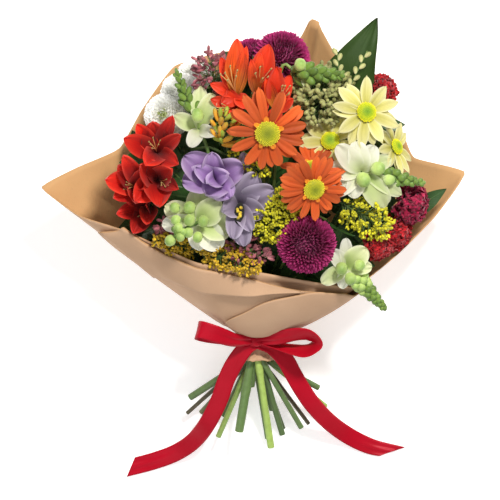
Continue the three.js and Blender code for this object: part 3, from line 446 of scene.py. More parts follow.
def lance(t):
    return np.sin(math.pi * np.clip(t * 0.94 + 0.06, 0, 1) ** 0.8) ** 0.85


def blade(t):
    foot = np.sin(np.minimum(t / 0.5, 1) * math.pi / 2) ** 0.7
    return np.minimum(foot, np.clip((1 - t) / 0.56, 0, 1) ** 0.85)


# What a petal's form says unless it says otherwise. Cup and roll lift its sides, groove folds it
# lengthwise, ruffle waves its edge, teeth and round shape its end, and bend turns it sideways.
PLAIN_PETAL = {
    "cup": 0.15, "roll": 0, "groove": 0, "ruffle": 0, "waves": 3, "teeth": 0, "round": 0, "bend": 0,
}


def petal_points(form, rng):
    """One petal along +X with its upper face up, as a grid of points."""
    form = {**PLAIN_PETAL, **form}
    length, cols = form["length"], form["cols"]
    t = 1 - (1 - np.linspace(0, 1, form["rows"])) ** 1.35
    angle = np.radians(form["rise"] + form["curl"] * t)
    step = np.diff(t) * length
    between = (angle[1:] + angle[:-1]) / 2
    x = np.concatenate([[0], np.cumsum(np.cos(between) * step)])[:, None]
    z = np.concatenate([[0], np.cumsum(np.sin(between) * step)])[:, None]
    half = (form["width"] / 2 * form["profile"](t))[:, None]
    tt, uu = t[:, None], np.linspace(-1, 1, cols)[None, :]
    lift = form["cup"] * half * uu**2 + form["roll"] * half * uu * tt
    lift = lift - form["groove"] * np.cos(uu * math.tau) * np.sin(tt * math.pi) ** 0.5
    if form["ruffle"]:
        waves, phase = form["waves"], rng.uniform(0, 6.28, 3)
        tip = np.sin(waves * math.pi * uu + phase[0]) * tt**3
        side = np.sin(waves * 1.7 * math.pi * tt + phase[1]) * np.abs(uu) ** 2.5
        side = side * np.sin(tt * math.pi / 2)
        slow = np.sin(2.2 * uu + 3 * tt + phase[2]) * tt
        lift = lift + form["ruffle"] * (tip + 0.9 * side + 0.5 * slow)
    if form["teeth"]:
        x = x + form["teeth"] * np.where(np.arange(cols) % 2, 1, -1)[None, :] * tt**8
    x = x - form["round"] * length * uu**2 * tt**4
    nx, nz = -np.sin(angle)[:, None], np.cos(angle)[:, None]
    side = uu * half + form["bend"] * tt**2 * length
    return np.stack([x + nx * lift, side + 0 * lift, z + nz * lift], -1)


def add_petal(growth, place, turn, root, height, form, shade, rng, slot=0):
    points = petal_points(form, rng) + [root, 0, height]
    growth.grid(moved(place @ spin(turn), points), shade, slot)


def tube_points(path, radii, sides):
    """A round tube along points, as a grid that wraps round."""
    path = np.asarray(path, float)
    tangent = np.gradient(path, axis=0)
    tangent /= np.linalg.norm(tangent, axis=1)[:, None]
    side = np.cross(tangent, [0.13, 0.21, 0.97])
    side /= np.linalg.norm(side, axis=1)[:, None]
    other = np.cross(tangent, side)
    turn = np.linspace(0, math.tau, sides + 1)
    radii = np.broadcast_to(np.asarray(radii, float), (len(path),))
    ring = side[:, None] * np.cos(turn)[None, :, None] + other[:, None] * np.sin(turn)[None, :, None]
    return path[:, None] + ring * radii[:, None, None]


def upright_tube(heights, radii, sides):
    return tube_points([(0, 0, height) for height in heights], radii, sides)


def ball_points(centre, direction, radius, stretch=1.0, rows=5, sides=6, taper=0.0, crease=0.0):
    """An egg-shaped bud whose long axis points in a direction, with a crease down one side."""
    polar = np.linspace(0, math.pi, rows)[:, None]
    turn = np.linspace(0, math.tau, sides + 1)[None, :]
    narrow = 1 - taper * (1 - np.cos(polar)) / 2
    narrow = narrow * (1 - crease * np.abs(np.cos(turn)) ** 6)
    x = radius * np.sin(polar) * np.cos(turn) * narrow
    y = radius * np.sin(polar) * np.sin(turn) * narrow
    z = radius * stretch * np.cos(polar) * (1 if taper else -1) + 0 * turn
    return moved(facing(centre, direction), np.stack([x, y, z], -1))


def hermite(points, tension, t, closed):
    """A Catmull-Rom curve through points at parameters from 0 to 1."""
    points = np.asarray(points, float)
    count = len(points)
    t = np.asarray(t, float)
    p = t * (count if closed else count - 1)
    low = np.floor(p).astype(int)
    if not closed:
        low = np.clip(low, 0, count - 2)
    w = (p - low)[..., None]

    def knot(i):
        return points[i % count] if closed else points[np.clip(i, 0, count - 1)]

    before, here, there, after = knot(low - 1), knot(low), knot(low + 1), knot(low + 2)
    t0, t1 = tension * (there - before), tension * (after - here)
    c2 = -3 * here + 3 * there - 2 * t0 - t1
    c3 = 2 * here - 2 * there + t0 + t1
    return here + t0 * w + c2 * w**2 + c3 * w**3


def smooth_path(points, count, tension=0.5):
    return hermite(points, tension, np.linspace(0, 1, count), False)


# Materials.
class Shader:
    """A material whose node tree is built in a few readable lines."""

    def __init__(self, name, roughness, specular, sheen=0.0):
        self.material = bpy.data.materials.new(name)
        self.material.use_nodes = True
        self.nodes = self.material.node_tree.nodes
        self.links = self.material.node_tree.links
        self.surface = self.nodes["Principled BSDF"]
        self.set("Roughness", roughness)
        self.set("Specular IOR Level", specular)
        self.set("Sheen Weight", sheen)

    def set(self, name, value):
        self.surface.inputs[name].default_value = value

    def add(self, kind, inputs=(), output=0, **settings):
        node = self.nodes.new(kind)
        for key, value in settings.items():
            setattr(node, key, value)
        for key, value in dict(inputs).items():
            if isinstance(value, bpy.types.NodeSocket):
                self.links.new(value, node.inputs[key])
            else:
                node.inputs[key].default_value = value
        return node.outputs[output]

    def grow(self):
        """How far along and across the petal, and the petal's own shade."""
        vector = self.add("ShaderNodeAttribute", attribute_name="grow", output="Vector")
        parts = self.add("ShaderNodeSeparateXYZ", {0: vector}).node.outputs
        return parts["X"], parts["Y"], parts["Z"]

    def math(self, operation, a, b=0.0, c=0.0):
        return self.add("ShaderNodeMath", {0: a, 1: b, 2: c}, operation=operation)

    def times(self, a, b):
        return self.math("MULTIPLY", a, b)

    def scaled(self, value, factor, offset):
        return self.math("MULTIPLY_ADD", value, factor, offset)

    def edges(self, across, power, strength):
        """A mask that rises towards both edges of a petal or ribbon."""
        return self.times(self.math("POWER", self.math("ABSOLUTE", across), power), strength)

    def between(self, value, low, high, start, end):
        """Runs from start to end while the value runs from low to high."""
        return self.add("ShaderNodeMapRange", {0: value, 1: low, 2: high, 3: start, 4: end})

    def ramp(self, value, stops):
        node = self.nodes.new("ShaderNodeValToRGB")
        elements = node.color_ramp.elements
        while len(elements) < len(stops):
            elements.new(0.5)
        for element, (position, colour) in zip(elements, stops):
            element.position = position
            element.color = (*colour, 1)
        self.links.new(value, node.inputs[0])
        return node.outputs[0]

    def mix(self, factor, a, b):
        a, b = ((*c, 1) if isinstance(c, tuple) else c for c in (a, b))
        return self.add("ShaderNodeMix", {0: factor, 6: a, 7: b}, 2, data_type="RGBA")

    def noise(self, vector, scale, detail=3.0, roughness=0.55):
        inputs = {"Vector": vector, "Scale": scale, "Detail": detail, "Roughness": roughness}
        return self.add("ShaderNodeTexNoise", inputs)

    def position(self):
        return self.add("ShaderNodeTexCoord", output="Object")

    def stretched(self, x, y, z):
        return self.add("ShaderNodeCombineXYZ", {0: x, 1: y, 2: z})

    def bump(self, height, strength, distance):
        inputs = {"Height": height, "Strength": strength, "Distance": distance}
        self.links.new(self.add("ShaderNodeBump", inputs), self.surface.inputs["Normal"])

    def finish(self, colour, value=1.0, through=0.0):
        """Sets the colour, made lighter or darker by the value. Through is the share of light
        that shines through, as in a petal."""
        colour = self.add("ShaderNodeHueSaturation", {"Value": value, "Color": colour})
        self.links.new(colour, self.surface.inputs["Base Color"])
        if through:
            behind = self.add("ShaderNodeBsdfTranslucent", {"Color": colour})
            inputs = {0: through, 1: self.surface.outputs[0], 2: behind}
            both = self.add("ShaderNodeMixShader", inputs)
            self.links.new(both, self.nodes["Material Output"].inputs["Surface"])
        return self.material


def petal_material(
    name, root, middle, tip, vein, streaks=14.0, streak=0.35, rough=0.55, edge=None, vary=0.5,
    through=0.3, turn_at=0.45, streaks_end=1.0,
):
    """Colour runs from the root to the tip, with fine streaks along the petal. Turn_at is where
    it reaches the middle colour, and streaks_end is how far the streaks go."""
    shader = Shader(name, rough, 0.3, 0.15)
    along, across, shade = shader.grow()
    fine = shader.stretched(shader.times(across, streaks), along, shader.times(shade, 40.0))
    lines = shader.noise(fine, 1.6, 4.0, 0.6)
    mask = shader.between(lines, 0.38, 0.7, 0.0, streak)
    if streaks_end < 1:
        mask = shader.times(mask, shader.between(along, streaks_end, streaks_end + 0.2, 1.0, 0.0))
    base = shader.ramp(along, [(0.0, root), (turn_at, middle), (1.0, tip)])
    colour = shader.mix(mask, base, vein)
    if edge:
        colour = shader.mix(shader.edges(across, 4.0, 0.7), colour, edge)
    blotch = shader.scaled(shader.noise(shader.position(), 55.0, 2.0), 0.3, 0.85)
    value = shader.times(shader.scaled(shade, vary, 1.0 - vary / 2), blotch)
    shader.bump(lines, 0.35, 0.0006)
    return shader.finish(colour, value, through)


def leaf_material(name, dark, light, vein, rough=0.42):
    shader = Shader(name, rough, 0.4)
    along, across, shade = shader.grow()
    side = shader.math("ABSOLUTE", across)
    slant = shader.scaled(side, -3.2, shader.times(along, 15.0))
    ribs = shader.math("ABSOLUTE", shader.math("SINE", shader.times(slant, math.pi)))
    ribs = shader.between(ribs, 0.0, 0.22, 1.0, 0.0)
    midrib = shader.between(side, 0.02, 0.1, 1.0, 0.0)
    veins = shader.math("MAXIMUM", shader.times(ribs, 0.4), midrib)
    mottle = shader.noise(shader.position(), 70.0, 4.0)
    colour = shader.mix(shader.times(veins, 0.55), shader.mix(mottle, dark, light), vein)
    shader.bump(shader.scaled(veins, -0.7, mottle), 0.4, 0.0008)
    return shader.finish(colour, shader.scaled(shade, 0.6, 0.7))


def bud_material(name, root, middle, tip, rough=0.5, vary=0.6):
    shader = Shader(name, rough, 0.35, 0.1)
    along, _, shade = shader.grow()
    base = shader.ramp(along, [(0.05, root), (0.5, middle), (0.95, tip)])
    fine = shader.noise(shader.position(), 420.0)
    value = shader.times(shader.scaled(shade, vary, 1.0 - vary / 2), shader.scaled(fine, 0.5, 0.75))
    shader.bump(fine, 0.5, 0.0007)
    return shader.finish(base, value)


def disc_material(name, middle, between, rim):
    """Florets of a daisy's disc: the shade says how far each stands from the middle. Each floret is
    painted darker at its foot and lighter at its top as painted shade between the florets, and the
    dome under them darker at its middle.
    """
    shader = Shader(name, 0.6, 0.3, 0.1)
    along, _, shade = shader.grow()
    base = shader.ramp(shade, [(0.12, middle), (0.5, between), (0.92, rim)])
    fine = shader.noise(shader.position(), 500.0)
    # Painted shade: darker towards each floret's foot, lighter at its top.
    value = shader.times(shader.scaled(fine, 0.5, 0.75), shader.scaled(along, 0.5, 0.65))
    shader.bump(fine, 0.5, 0.0007)
    return shader.finish(base, value)


def stem_material():
    shader = Shader("stem_skin", 0.45, 0.4)
    _, _, shade = shader.grow()
    brown, dull, dark = (0.06, 0.045, 0.03), (0.12, 0.10, 0.05), (0.045, 0.10, 0.03)
    green, yellow = (0.10, 0.21, 0.05), (0.34, 0.50, 0.10)
    base = shader.ramp(shade, [(0.0, brown), (0.2, dull), (0.35, dark), (0.7, green), (1.0, yellow)])
    rings = shader.noise(shader.position(), 240.0, 4.0)
    blotch = shader.times(shader.noise(shader.position(), 38.0), 0.35)
    shader.bump(rings, 0.4, 0.0006)
    return shader.finish(shader.mix(blotch, base, (0.24, 0.24, 0.10)), shader.scaled(rings, 0.6, 0.7))


def kraft_material(name, dark, light):
    """Brown paper: fine fibres, a few darker flecks, soft clouds and faint crumples, whose hollows
    are painted darker and crests lighter as painted shade.
    """
    shader = Shader(name, 0.74, 0.2, 0.05)
    place = shader.position()
    warp = shader.add("ShaderNodeMapping", {"Vector": place, "Scale": (1.0, 0.3, 1.0)})
    fibre = shader.noise(warp, 780.0, 5.0, 0.65)
    crumple = shader.noise(place, 34.0, 2.0, 0.4)
    cloudy = shader.mix(shader.noise(place, 13.0), dark, light)
    flecks = shader.between(fibre, 0.58, 0.78, 0.0, 0.3)
    shader.bump(shader.scaled(crumple, 1.4, fibre), 0.22, 0.0011)
    colour = shader.mix(flecks, cloudy, (0.32, 0.18, 0.09))
    # The crumples' height also sets the brightness: painted shade in their hollows.
    return shader.finish(colour, shader.scaled(crumple, 0.24, 0.88))


def satin_material():
    shader = Shader("red_satin", 0.38, 0.26)
    shader.set("Anisotropic", 0.55)
    shader.set("Sheen Roughness", 0.4)
    shader.set("Specular Tint", (1.0, 0.42, 0.46, 1.0))
    along, across, shade = shader.grow()
    threads = shader.stretched(shader.times(across, 60.0), shader.times(along, 3.0), shade)
    weave = shader.noise(threads, 2.2)
    soft = shader.noise(shader.position(), 30.0, 2.0)
    colour = shader.mix(soft, (0.31, 0.002, 0.009), (0.45, 0.003, 0.018))
    colour = shader.mix(shader.edges(across, 14.0, 0.45), colour, (0.30, 0.0, 0.01))
    shader.bump(weave, 0.12, 0.0004)
    return shader.finish(colour, shader.scaled(weave, 0.2, 0.9))


def floor_material():
    shader = Shader("floor_paint", 0.9, 0.1)
    shader.set("Emission Color", (1.0, 1.0, 1.0, 1.0))
    shader.set("Emission Strength", FLOOR_GLOW)
    speck = shader.noise(shader.position(), 3.0, 2.0)
    return shader.finish(shader.ramp(speck, [(0.3, (0.93, 0.93, 0.93)), (0.7, (0.95, 0.95, 0.95))]))


MATERIALS = {
    "orange": petal_material(
        "orange_petals", (0.52, 0.09, 0.01), (0.63, 0.10, 0.014), (0.72, 0.15, 0.028),
        (0.42, 0.035, 0.006), vary=0.6,
    ),
    "golden": petal_material(
        "young_daisy_petals", (0.80, 0.38, 0.02), (0.86, 0.34, 0.02), (0.84, 0.24, 0.02),
        (0.7, 0.2, 0.01),
    ),
    "orange_disc": disc_material(
        "orange_daisy_florets", (0.26, 0.30, 0.01), (0.50, 0.47, 0.01), (0.80, 0.68, 0.03),
    ),
    "cream": petal_material(
        "cream_petals", (0.56, 0.52, 0.05), (0.74, 0.69, 0.24), (0.84, 0.80, 0.46),
        (0.50, 0.46, 0.14), edge=(0.88, 0.85, 0.58), vary=0.3, streak=0.5,
    ),
    "cream_disc": disc_material(
        "cream_daisy_florets", (0.22, 0.40, 0.01), (0.60, 0.62, 0.01), (0.92, 0.80, 0.01),
    ),
    "purple": petal_material(
        "purple_petals", (0.08, 0.001, 0.02), (0.30, 0.003, 0.085), (0.70, 0.07, 0.30),
        (0.14, 0.001, 0.04), vary=0.7,
    ),
    "white": petal_material(
        "white_petals", (0.90, 0.92, 0.80), (0.97, 0.97, 0.94), (0.99, 0.99, 0.98),
        (0.93, 0.94, 0.89), streak=0.1, vary=0.04, through=0.5,
    ),
    "white_eye": petal_material(
        "white_mum_eyes", (0.42, 0.54, 0.10), (0.60, 0.70, 0.26), (0.78, 0.83, 0.52),
        (0.46, 0.56, 0.16),
    ),
    # The near-black roots of both red tepal materials, reaching the middle colour only past halfway,
    # are painted shade deep in the cup.
    "red": petal_material(
        "red_tepals", (0.09, 0.001, 0.001), (0.52, 0.008, 0.004), (0.84, 0.036, 0.014),
        (0.30, 0.002, 0.003), streaks=9, streak=0.6, rough=0.42, edge=(0.88, 0.07, 0.035),
        turn_at=0.55,
    ),
    "inner_red": petal_material(
        "streaked_red_tepals", (0.12, 0.004, 0.002), (0.36, 0.006, 0.004), (0.70, 0.022, 0.01),
        (0.10, 0.001, 0.002), streaks=16, streak=0.85, rough=0.45, turn_at=0.55, streaks_end=0.75,
    ),
    "scarlet": petal_material(
        "scarlet_tepals", (0.50, 0.04, 0.01), (0.76, 0.045, 0.010), (0.82, 0.055, 0.014),
        (0.50, 0.012, 0.005), streaks=9, streak=0.4, rough=0.42, edge=(0.86, 0.11, 0.05),
        turn_at=0.25,
    ),
    "inner_scarlet": petal_material(
        "streaked_tepals", (0.74, 0.38, 0.03), (0.80, 0.10, 0.014), (0.80, 0.045, 0.012),
        (0.16, 0.006, 0.003), streaks=13, streak=1.0, rough=0.45, turn_at=0.52, streaks_end=0.6,
    ),
    "filament": bud_material(
        "filaments", (0.60, 0.22, 0.05), (0.66, 0.34, 0.10), (0.62, 0.42, 0.15),
    ),
    "anther": bud_material("anthers", (0.20, 0.16, 0.05), (0.34, 0.28, 0.08), (0.50, 0.40, 0.16)),
    "lavender": petal_material(
        "lavender_petals", (0.10, 0.03, 0.16), (0.28, 0.15, 0.38), (0.44, 0.31, 0.54),
        (0.20, 0.10, 0.32), streaks=10, streak=0.35, edge=(0.62, 0.50, 0.68), vary=0.35,
        turn_at=0.5, through=0.25,
    ),
    # The near-black root colour is painted shade towards the flower's opening.
    "pale_lavender": petal_material(
        "pale_lavender_petals", (0.07, 0.05, 0.08), (0.25, 0.20, 0.29), (0.42, 0.36, 0.48),
        (0.20, 0.15, 0.25), streaks=10, streak=0.35, edge=(0.60, 0.53, 0.66), vary=0.3,
        through=0.25,
    ),
    # A near-black ball as painted shade deep in the paler lisianthus's opening.
    "throat": bud_material(
        "painted_throat_shade", (0.01, 0.01, 0.008), (0.012, 0.012, 0.01), (0.02, 0.018, 0.01), rough=0.9,
    ),
    "golden_anther": bud_material(
        "golden_anthers", (0.30, 0.20, 0.01), (0.50, 0.36, 0.02), (0.62, 0.46, 0.04),
    ),
    "red_frill": petal_material(
        "red_frills", (0.10, 0.001, 0.003), (0.40, 0.004, 0.010), (0.70, 0.02, 0.03),
        (0.18, 0.0, 0.004), vary=0.7,
    ),
    "crimson_frill": petal_material(
        "crimson_frills", (0.07, 0.001, 0.008), (0.28, 0.003, 0.03), (0.56, 0.015, 0.09),
        (0.14, 0.0, 0.015), vary=0.7,
    ),
    "snap_petal": petal_material(
        "snapdragon_petals", (0.40, 0.56, 0.13), (0.62, 0.72, 0.32), (0.82, 0.84, 0.56),
        (0.52, 0.62, 0.26), streaks=8, streak=0.3, edge=(0.90, 0.89, 0.70), vary=0.2, through=0.4,
    ),
    "snap_white": petal_material(
        "pale_snapdragon_petals", (0.60, 0.68, 0.30), (0.86, 0.87, 0.70), (0.94, 0.94, 0.86),
        (0.74, 0.78, 0.52), streaks=8, streak=0.25, edge=(0.96, 0.95, 0.88), vary=0.12,
        through=0.45,
    ),
    # The dark root and pale tip colours are painted shade and a painted highlight on the buds' green.
    "snap_bud": bud_material(
        "snapdragon_buds", (0.20, 0.32, 0.07), (0.46, 0.60, 0.17), (0.84, 0.89, 0.54), vary=0.35,
    ),
    "snap_tip": bud_material(
        "snapdragon_tip_buds", (0.06, 0.12, 0.012), (0.14, 0.23, 0.035), (0.36, 0.45, 0.11),
        vary=0.5,
    ),
    "calyx": bud_material(
        "snapdragon_calyx", (0.06, 0.15, 0.03), (0.12, 0.25, 0.06), (0.24, 0.40, 0.12),
    ),
    "gold": bud_material(
        "golden_florets", (0.34, 0.20, 0.008), (0.62, 0.40, 0.010), (0.80, 0.60, 0.02), vary=0.7,
    ),
    "goldenrod": bud_material(
        "goldenrod_florets", (0.34, 0.33, 0.01), (0.68, 0.63, 0.012), (0.90, 0.82, 0.03), vary=0.6,
    ),
    "pink": bud_material(
        "pink_buds", (0.14, 0.03, 0.04), (0.34, 0.10, 0.12), (0.60, 0.27, 0.27), vary=0.8,
    ),
    "seed": bud_material(
        "seed_buds", (0.20, 0.22, 0.06), (0.38, 0.37, 0.15), (0.58, 0.53, 0.29), vary=0.5,
    ),
    "bud": bud_material(
        "yellow_green_buds", (0.20, 0.30, 0.03), (0.42, 0.50, 0.05), (0.60, 0.58, 0.06), vary=0.4,
    ),
    "golden_bud": bud_material(
        "golden_buds", (0.34, 0.26, 0.02), (0.68, 0.30, 0.02), (0.86, 0.44, 0.02), vary=0.5,
    ),
    "twig": bud_material("twigs", (0.05, 0.10, 0.02), (0.10, 0.18, 0.04), (0.17, 0.25, 0.06)),
    "leaf": leaf_material(
        "leaf_skin", (0.012, 0.040, 0.008), (0.036, 0.095, 0.020), (0.09, 0.17, 0.05),
    ),
    "broad": leaf_material(
        "broad_leaf_skin", (0.020, 0.048, 0.008), (0.034, 0.070, 0.012), (0.038, 0.078, 0.016), 0.4,
    ),
    "stem": stem_material(),
    "kraft": kraft_material("kraft_paper", (0.44, 0.265, 0.155), (0.55, 0.355, 0.225)),
    # A more orange copy of the paper for the inner faces: its colour is painted shade, with painted
    # light shining through the sheet.
    "kraft_inside_painted_shade": kraft_material("kraft_paper_inside_painted_shade", (0.47, 0.26, 0.11), (0.57, 0.335, 0.155)),
    "satin": satin_material(),
}


# The wrap's rim, near that of the solids.
RIM_ANGLES = np.array([row[0] for row in RIM] + [360.0])
RIM_POINTS = np.array([at(row[1]) for row in RIM])
PULL_POINTS = np.array([at(row[2]) for row in RIM])
TIE = at((TIE_X, 0, TIE_HEIGHT))


def paper_points(angles, rows):
    """Points of the paper's outside: rows below 0 are the gathered skirt, 1 is the rim."""
    angles = np.asarray(angles, float)[:, None] + 0 * rows
    turn = np.radians(angles)
    spoke = np.stack([-np.sin(turn), 0 * turn, -np.cos(turn)], -1)
    neck = TIE + spoke * NECK_RADIUS + [0, NECK_FRONT, 0]
    wrapped = np.mod(angles, 360)
    parameter = np.interp(wrapped, RIM_ANGLES, np.arange(len(RIM_ANGLES))) / len(RIM)
    rim = hermite(RIM_POINTS, 0.24, parameter, True)
    pull = hermite(PULL_POINTS, 0.5, parameter, True)
    v = np.maximum(rows, 0)[..., None]
    spread = neck * (1 - v) ** 2 + pull * 2 * v * (1 - v) + rim * v**2
    spread[..., 2] = np.maximum(spread[..., 2], 0)
    back = np.clip(-rows, 0, 1)
    flare = np.clip(back - 0.72, 0, 1) * (14 + 5 * np.sin(7 * turn))
    gathered = neck + spoke * flare[..., None]
    gathered[..., 1] -= SKIRT * back
    return np.where((rows <= 0)[..., None], gathered, spread)


def pleats(angles, rows, waviness):
    """How far the paper stands in or out: gathers at the neck, soft waves and a fold beyond."""
    a = np.radians(angles)
    v = np.clip(rows, 0, 1)
    gathers = np.abs(np.sin(8.5 * a + 1.2 * np.sin(3 * a))) - 0.5
    waves = np.sin(5 * a + 4 * v) + 0.6 * np.sin(11 * a - 7 * v + 1)
    off = np.abs((np.degrees(a) - RIDGE_ANGLE + 180) % 360 - 180)
    ridge = -RIDGE_DEPTH * v**2 * np.clip(1 - off / RIDGE_HALF, 0, 1)
    below = np.clip(-rows, 0, 1)
    crumple = np.sin(13 * a + 9 * below) * np.sin(16 * below + 2 * np.sin(5 * a))
    crumpled = -0.7 * (crumple * np.minimum(1, 4 * below) + 1) * below
    gathered = -0.66 * (gathers + 0.5) * (1 - v) ** 3
    waved = -waviness * (waves + 1.6) * v * (1 - 0.6 * v)
    return gathered - 0.6 + waved + ridge + crumpled


def paper_shell(growth, angles, rows, folds, closed, waviness, extra=0.0):
    """A sheet a number of folds outside the wrap: its outside in kraft paper, and its inside and
    edges in a more orange copy whose colour is painted shade and painted light shining through the
    sheet. A closed one goes all the way round, and extra lifts the sheet further."""
    angles = np.asarray(angles, float)
    points = paper_points(angles, rows)
    d_row = np.gradient(points, axis=1)
    ahead, behind = paper_points(angles + 1, rows), paper_points(angles - 1, rows)
    normal = np.cross(ahead - behind, d_row)
    normal /= np.maximum(np.linalg.norm(normal, axis=-1, keepdims=True), 1e-9)
    lift = folds * (LAYER + LAYER_SPREAD * np.clip(rows - FLAP_FOOT, 0, 1)) + extra
    lift = lift + pleats(angles[:, None] + 0 * rows, rows, waviness)
    outer = points + normal * lift[..., None]
    outer[..., 2] = np.maximum(outer[..., 2], 0.0)
    inner = outer - normal * PAPER
    inner[..., 2] = np.maximum(inner[..., 2], PAPER)
    if closed:
        outer = np.concatenate([outer, outer[:1]], axis=0)
        inner = np.concatenate([inner, inner[:1]], axis=0)
    growth.grid(outer, 0.5, 0)
    growth.grid(inner[:, ::-1], 0.5, 1)
    for edge in (0, -1):
        growth.grid(np.stack([inner[:, edge], outer[:, edge]], 1), 0.5, 1)
    if not closed:
        for end in (0, -1):
            growth.grid(np.stack([outer[end], inner[end]], 0), 0.5, 1)


def edge_row(stops, angles):
    return np.interp(angles, [stop[0] for stop in stops], [stop[1] for stop in stops])


def build_flap(name, node, stops, folds, cuff=None):
    flap = Growth(name)
    corners = [stop[0] for stop in stops]
    angles = np.union1d(np.linspace(corners[0], corners[-1], FLAP_COLUMNS), corners)
    span = np.linspace(0, 1, FLAP_ROWS)[None, :]
    top = edge_row(stops, angles)[:, None]
    # Towards its far end the flap lies down on the wrap.
    layers = folds * np.clip((corners[-1] - angles[:, None]) / FLAP_SETTLES, 0.1, 1)
    paper_shell(flap, angles, FLAP_FOOT + (top - FLAP_FOOT) * span, layers, False, 0.12)
    if cuff:
        # The turned-down top of the flap, which stands off it most in the middle of its fold.
        angles = np.linspace(cuff[0][0], cuff[-1][0], FLAP_COLUMNS)
        low, high = edge_row(cuff, angles)[:, None], edge_row(stops, angles)[:, None]
        stands = 1.5 + 3.8 * np.exp(-(((angles[:, None] - CUFF_STANDS_OFF) / 13) ** 2))
        span = span[:, ::3]
        extra = 0.9 + stands * (1 - 0.85 * span) ** 1.5
        paper_shell(flap, angles, low + (high - low) * span, folds, False, 0.12, extra)
    flap.build(["kraft", "kraft_inside_painted_shade"], node, "kraft_paper", weld=True)


def build_paper():
    wrap = Growth("paper_wrap_sheet")
    angles = np.linspace(0, 360, WRAP_COLUMNS, endpoint=False)
    rows = np.concatenate([np.linspace(-1, 0, SKIRT_ROWS)[:-1], np.linspace(0, 1, WRAP_ROWS)])
    rows = np.tile(rows, (len(angles), 1))
    # The wrap bends in behind the flaps' edge, where their shadow falls.
    dent = np.exp(-(((angles[:, None] - DENT_ANGLE) / 12) ** 2) - ((rows - DENT_ROW) / 0.045) ** 2)
    paper_shell(wrap, angles, rows, 0, True, 0.35, -DENT_DEPTH * dent)
    wrap.build(["kraft", "kraft_inside_painted_shade"], "paper_wrap", "kraft_paper", weld=True)
    build_flap("paper_overlap_left_sheet", "paper_overlap_left", LEFT_FLAP, 1, CUFF)
    build_flap("paper_overlap_right_sheet", "paper_overlap_right", RIGHT_FLAP, 2)


# The ribbon: each stop is a point from the tie, a way across (or None for level) and a width.
BAND_Y, BAND_HALF = 2.0, 3.6
KNOT = (-4, 3, 74)
LEFT_TAIL = [
    ((-2, 0, 72), None, 8), ((-13, -4, 72), None, 14), ((-23, -17, 66), None, 16),
    ((-31, -33, 58), None, 16), ((-38, -53, 50), None, 16), ((-49, -75, 38), None, 16),
    ((-62, -92, 20), None, 16), ((-79, -104, 6), None, 16), ((-100, -112, 1.4), None, 16),
    ((-121, -117.5, 1.2), None, 16),
]
RIGHT_TAIL = [
    ((-6, 0, 72), None, 8), ((10, -3, 72), None, 14), ((22, -14, 66), None, 16),
    ((30, -28, 59), None, 16), ((38, -42, 52), None, 16), ((49, -58, 40), None, 16),
    ((65, -75, 22), None, 16), ((84, -89, 6), None, 16), ((104, -98.5, 1.4), None, 15),
    ((124, -103, 1.2), None, 12.5),
]
LEFT_LOOP = [
    ((0, 3, 74), (0.1, 1, 0.4), 8), ((-22, 3, 88), (0, 1, 0.5), 13),
    ((-40, 9, 97), (0.1, 1, 0.3), 16), ((-53, 13, 97), (0.25, 1, 0.1), 16),
    ((-58, 12.5, 89.5), (0.25, 1, 0), 16), ((-53, 10, 82), (0.25, 1, 0), 16),
    ((-36, 7, 79), (0, 1, 0.3), 16), ((-20, 4, 77), (0, 1, 0.5), 11), ((0, 3, 72), (0, 1, 0.3), 8),
]
RIGHT_LOOP = [
    ((-8, 3, 74), (0, 1, 0.4), 8), ((13, 5, 86), (0, 0.9, 0.5), 13),
    ((30, 8.8, 94), (-0.1, 0.72, 0.68), 16), ((43, 8.4, 95), (0.2, 0.62, 0.76), 16),
    ((51, 1, 91), (0.6, 0.05, 0.8), 16), ((43, -6, 86), (0.2, -0.62, 0.76), 16),
    ((27, -5, 80), (0, -0.62, 0.76), 14), ((-6, 2, 74), (0, -0.3, 1), 8),
]


def ribbon_strip(growth, stops, steps, gathers, cut):
    """A flat closed strip that bends through the stops, gathered at both its ends. Cut is how far
    one side of its end reaches past the middle. Returns its length."""
    route = np.array([at(stop[0]) for stop in stops])
    path = smooth_path(route, steps)
    along = np.gradient(path, axis=0)
    along /= np.linalg.norm(along, axis=1)[:, None]
    ways = np.gradient(route, axis=0)
    across = [unit(stop[1] or (-way[1], way[0], 0)) for stop, way in zip(stops, ways)]
    normal = np.cross(along, smooth_path(across, steps))
    normal /= np.linalg.norm(normal, axis=1)[:, None]
    side = np.cross(normal, along)
    width = smooth_path([[stop[2]] for stop in stops], steps)
    u = np.linspace(-1, 1, 9)[None, :]
    span = np.linspace(0, 1, steps)[:, None]
    squeeze = gathers * (np.exp(-((span / 0.16) ** 2)) + np.exp(-(((span - 1) / 0.16) ** 2)))
    wave = squeeze * np.cos(u * math.pi * 2.2) + 0.35 * (1 - u**2)
    middle = path[:, None] + side[:, None] * (u * width / 2)[..., None]
    middle = middle + normal[:, None] * wave[..., None]
    middle = middle + along[:, None] * (cut * u * span**12)[..., None]
    half = RIBBON_THICK / 2 * np.array([0.3, 0.9, 1, 1, 1, 1, 1, 0.9, 0.3])
    top = middle + normal[:, None] * half[:, None]
    bottom = middle - normal[:, None] * half[:, None]
    ring = np.concatenate([top, bottom[:, ::-1], top[:, :1]], axis=1)
    ring[..., 2] = np.maximum(ring[..., 2], 0.6)
    growth.grid(ring, 0.5)
    for end in (0, -1):
        growth.grid(np.stack([top[end], bottom[end]]), 0.5)
    return float(np.linalg.norm(np.diff(path, axis=0), axis=1).sum())


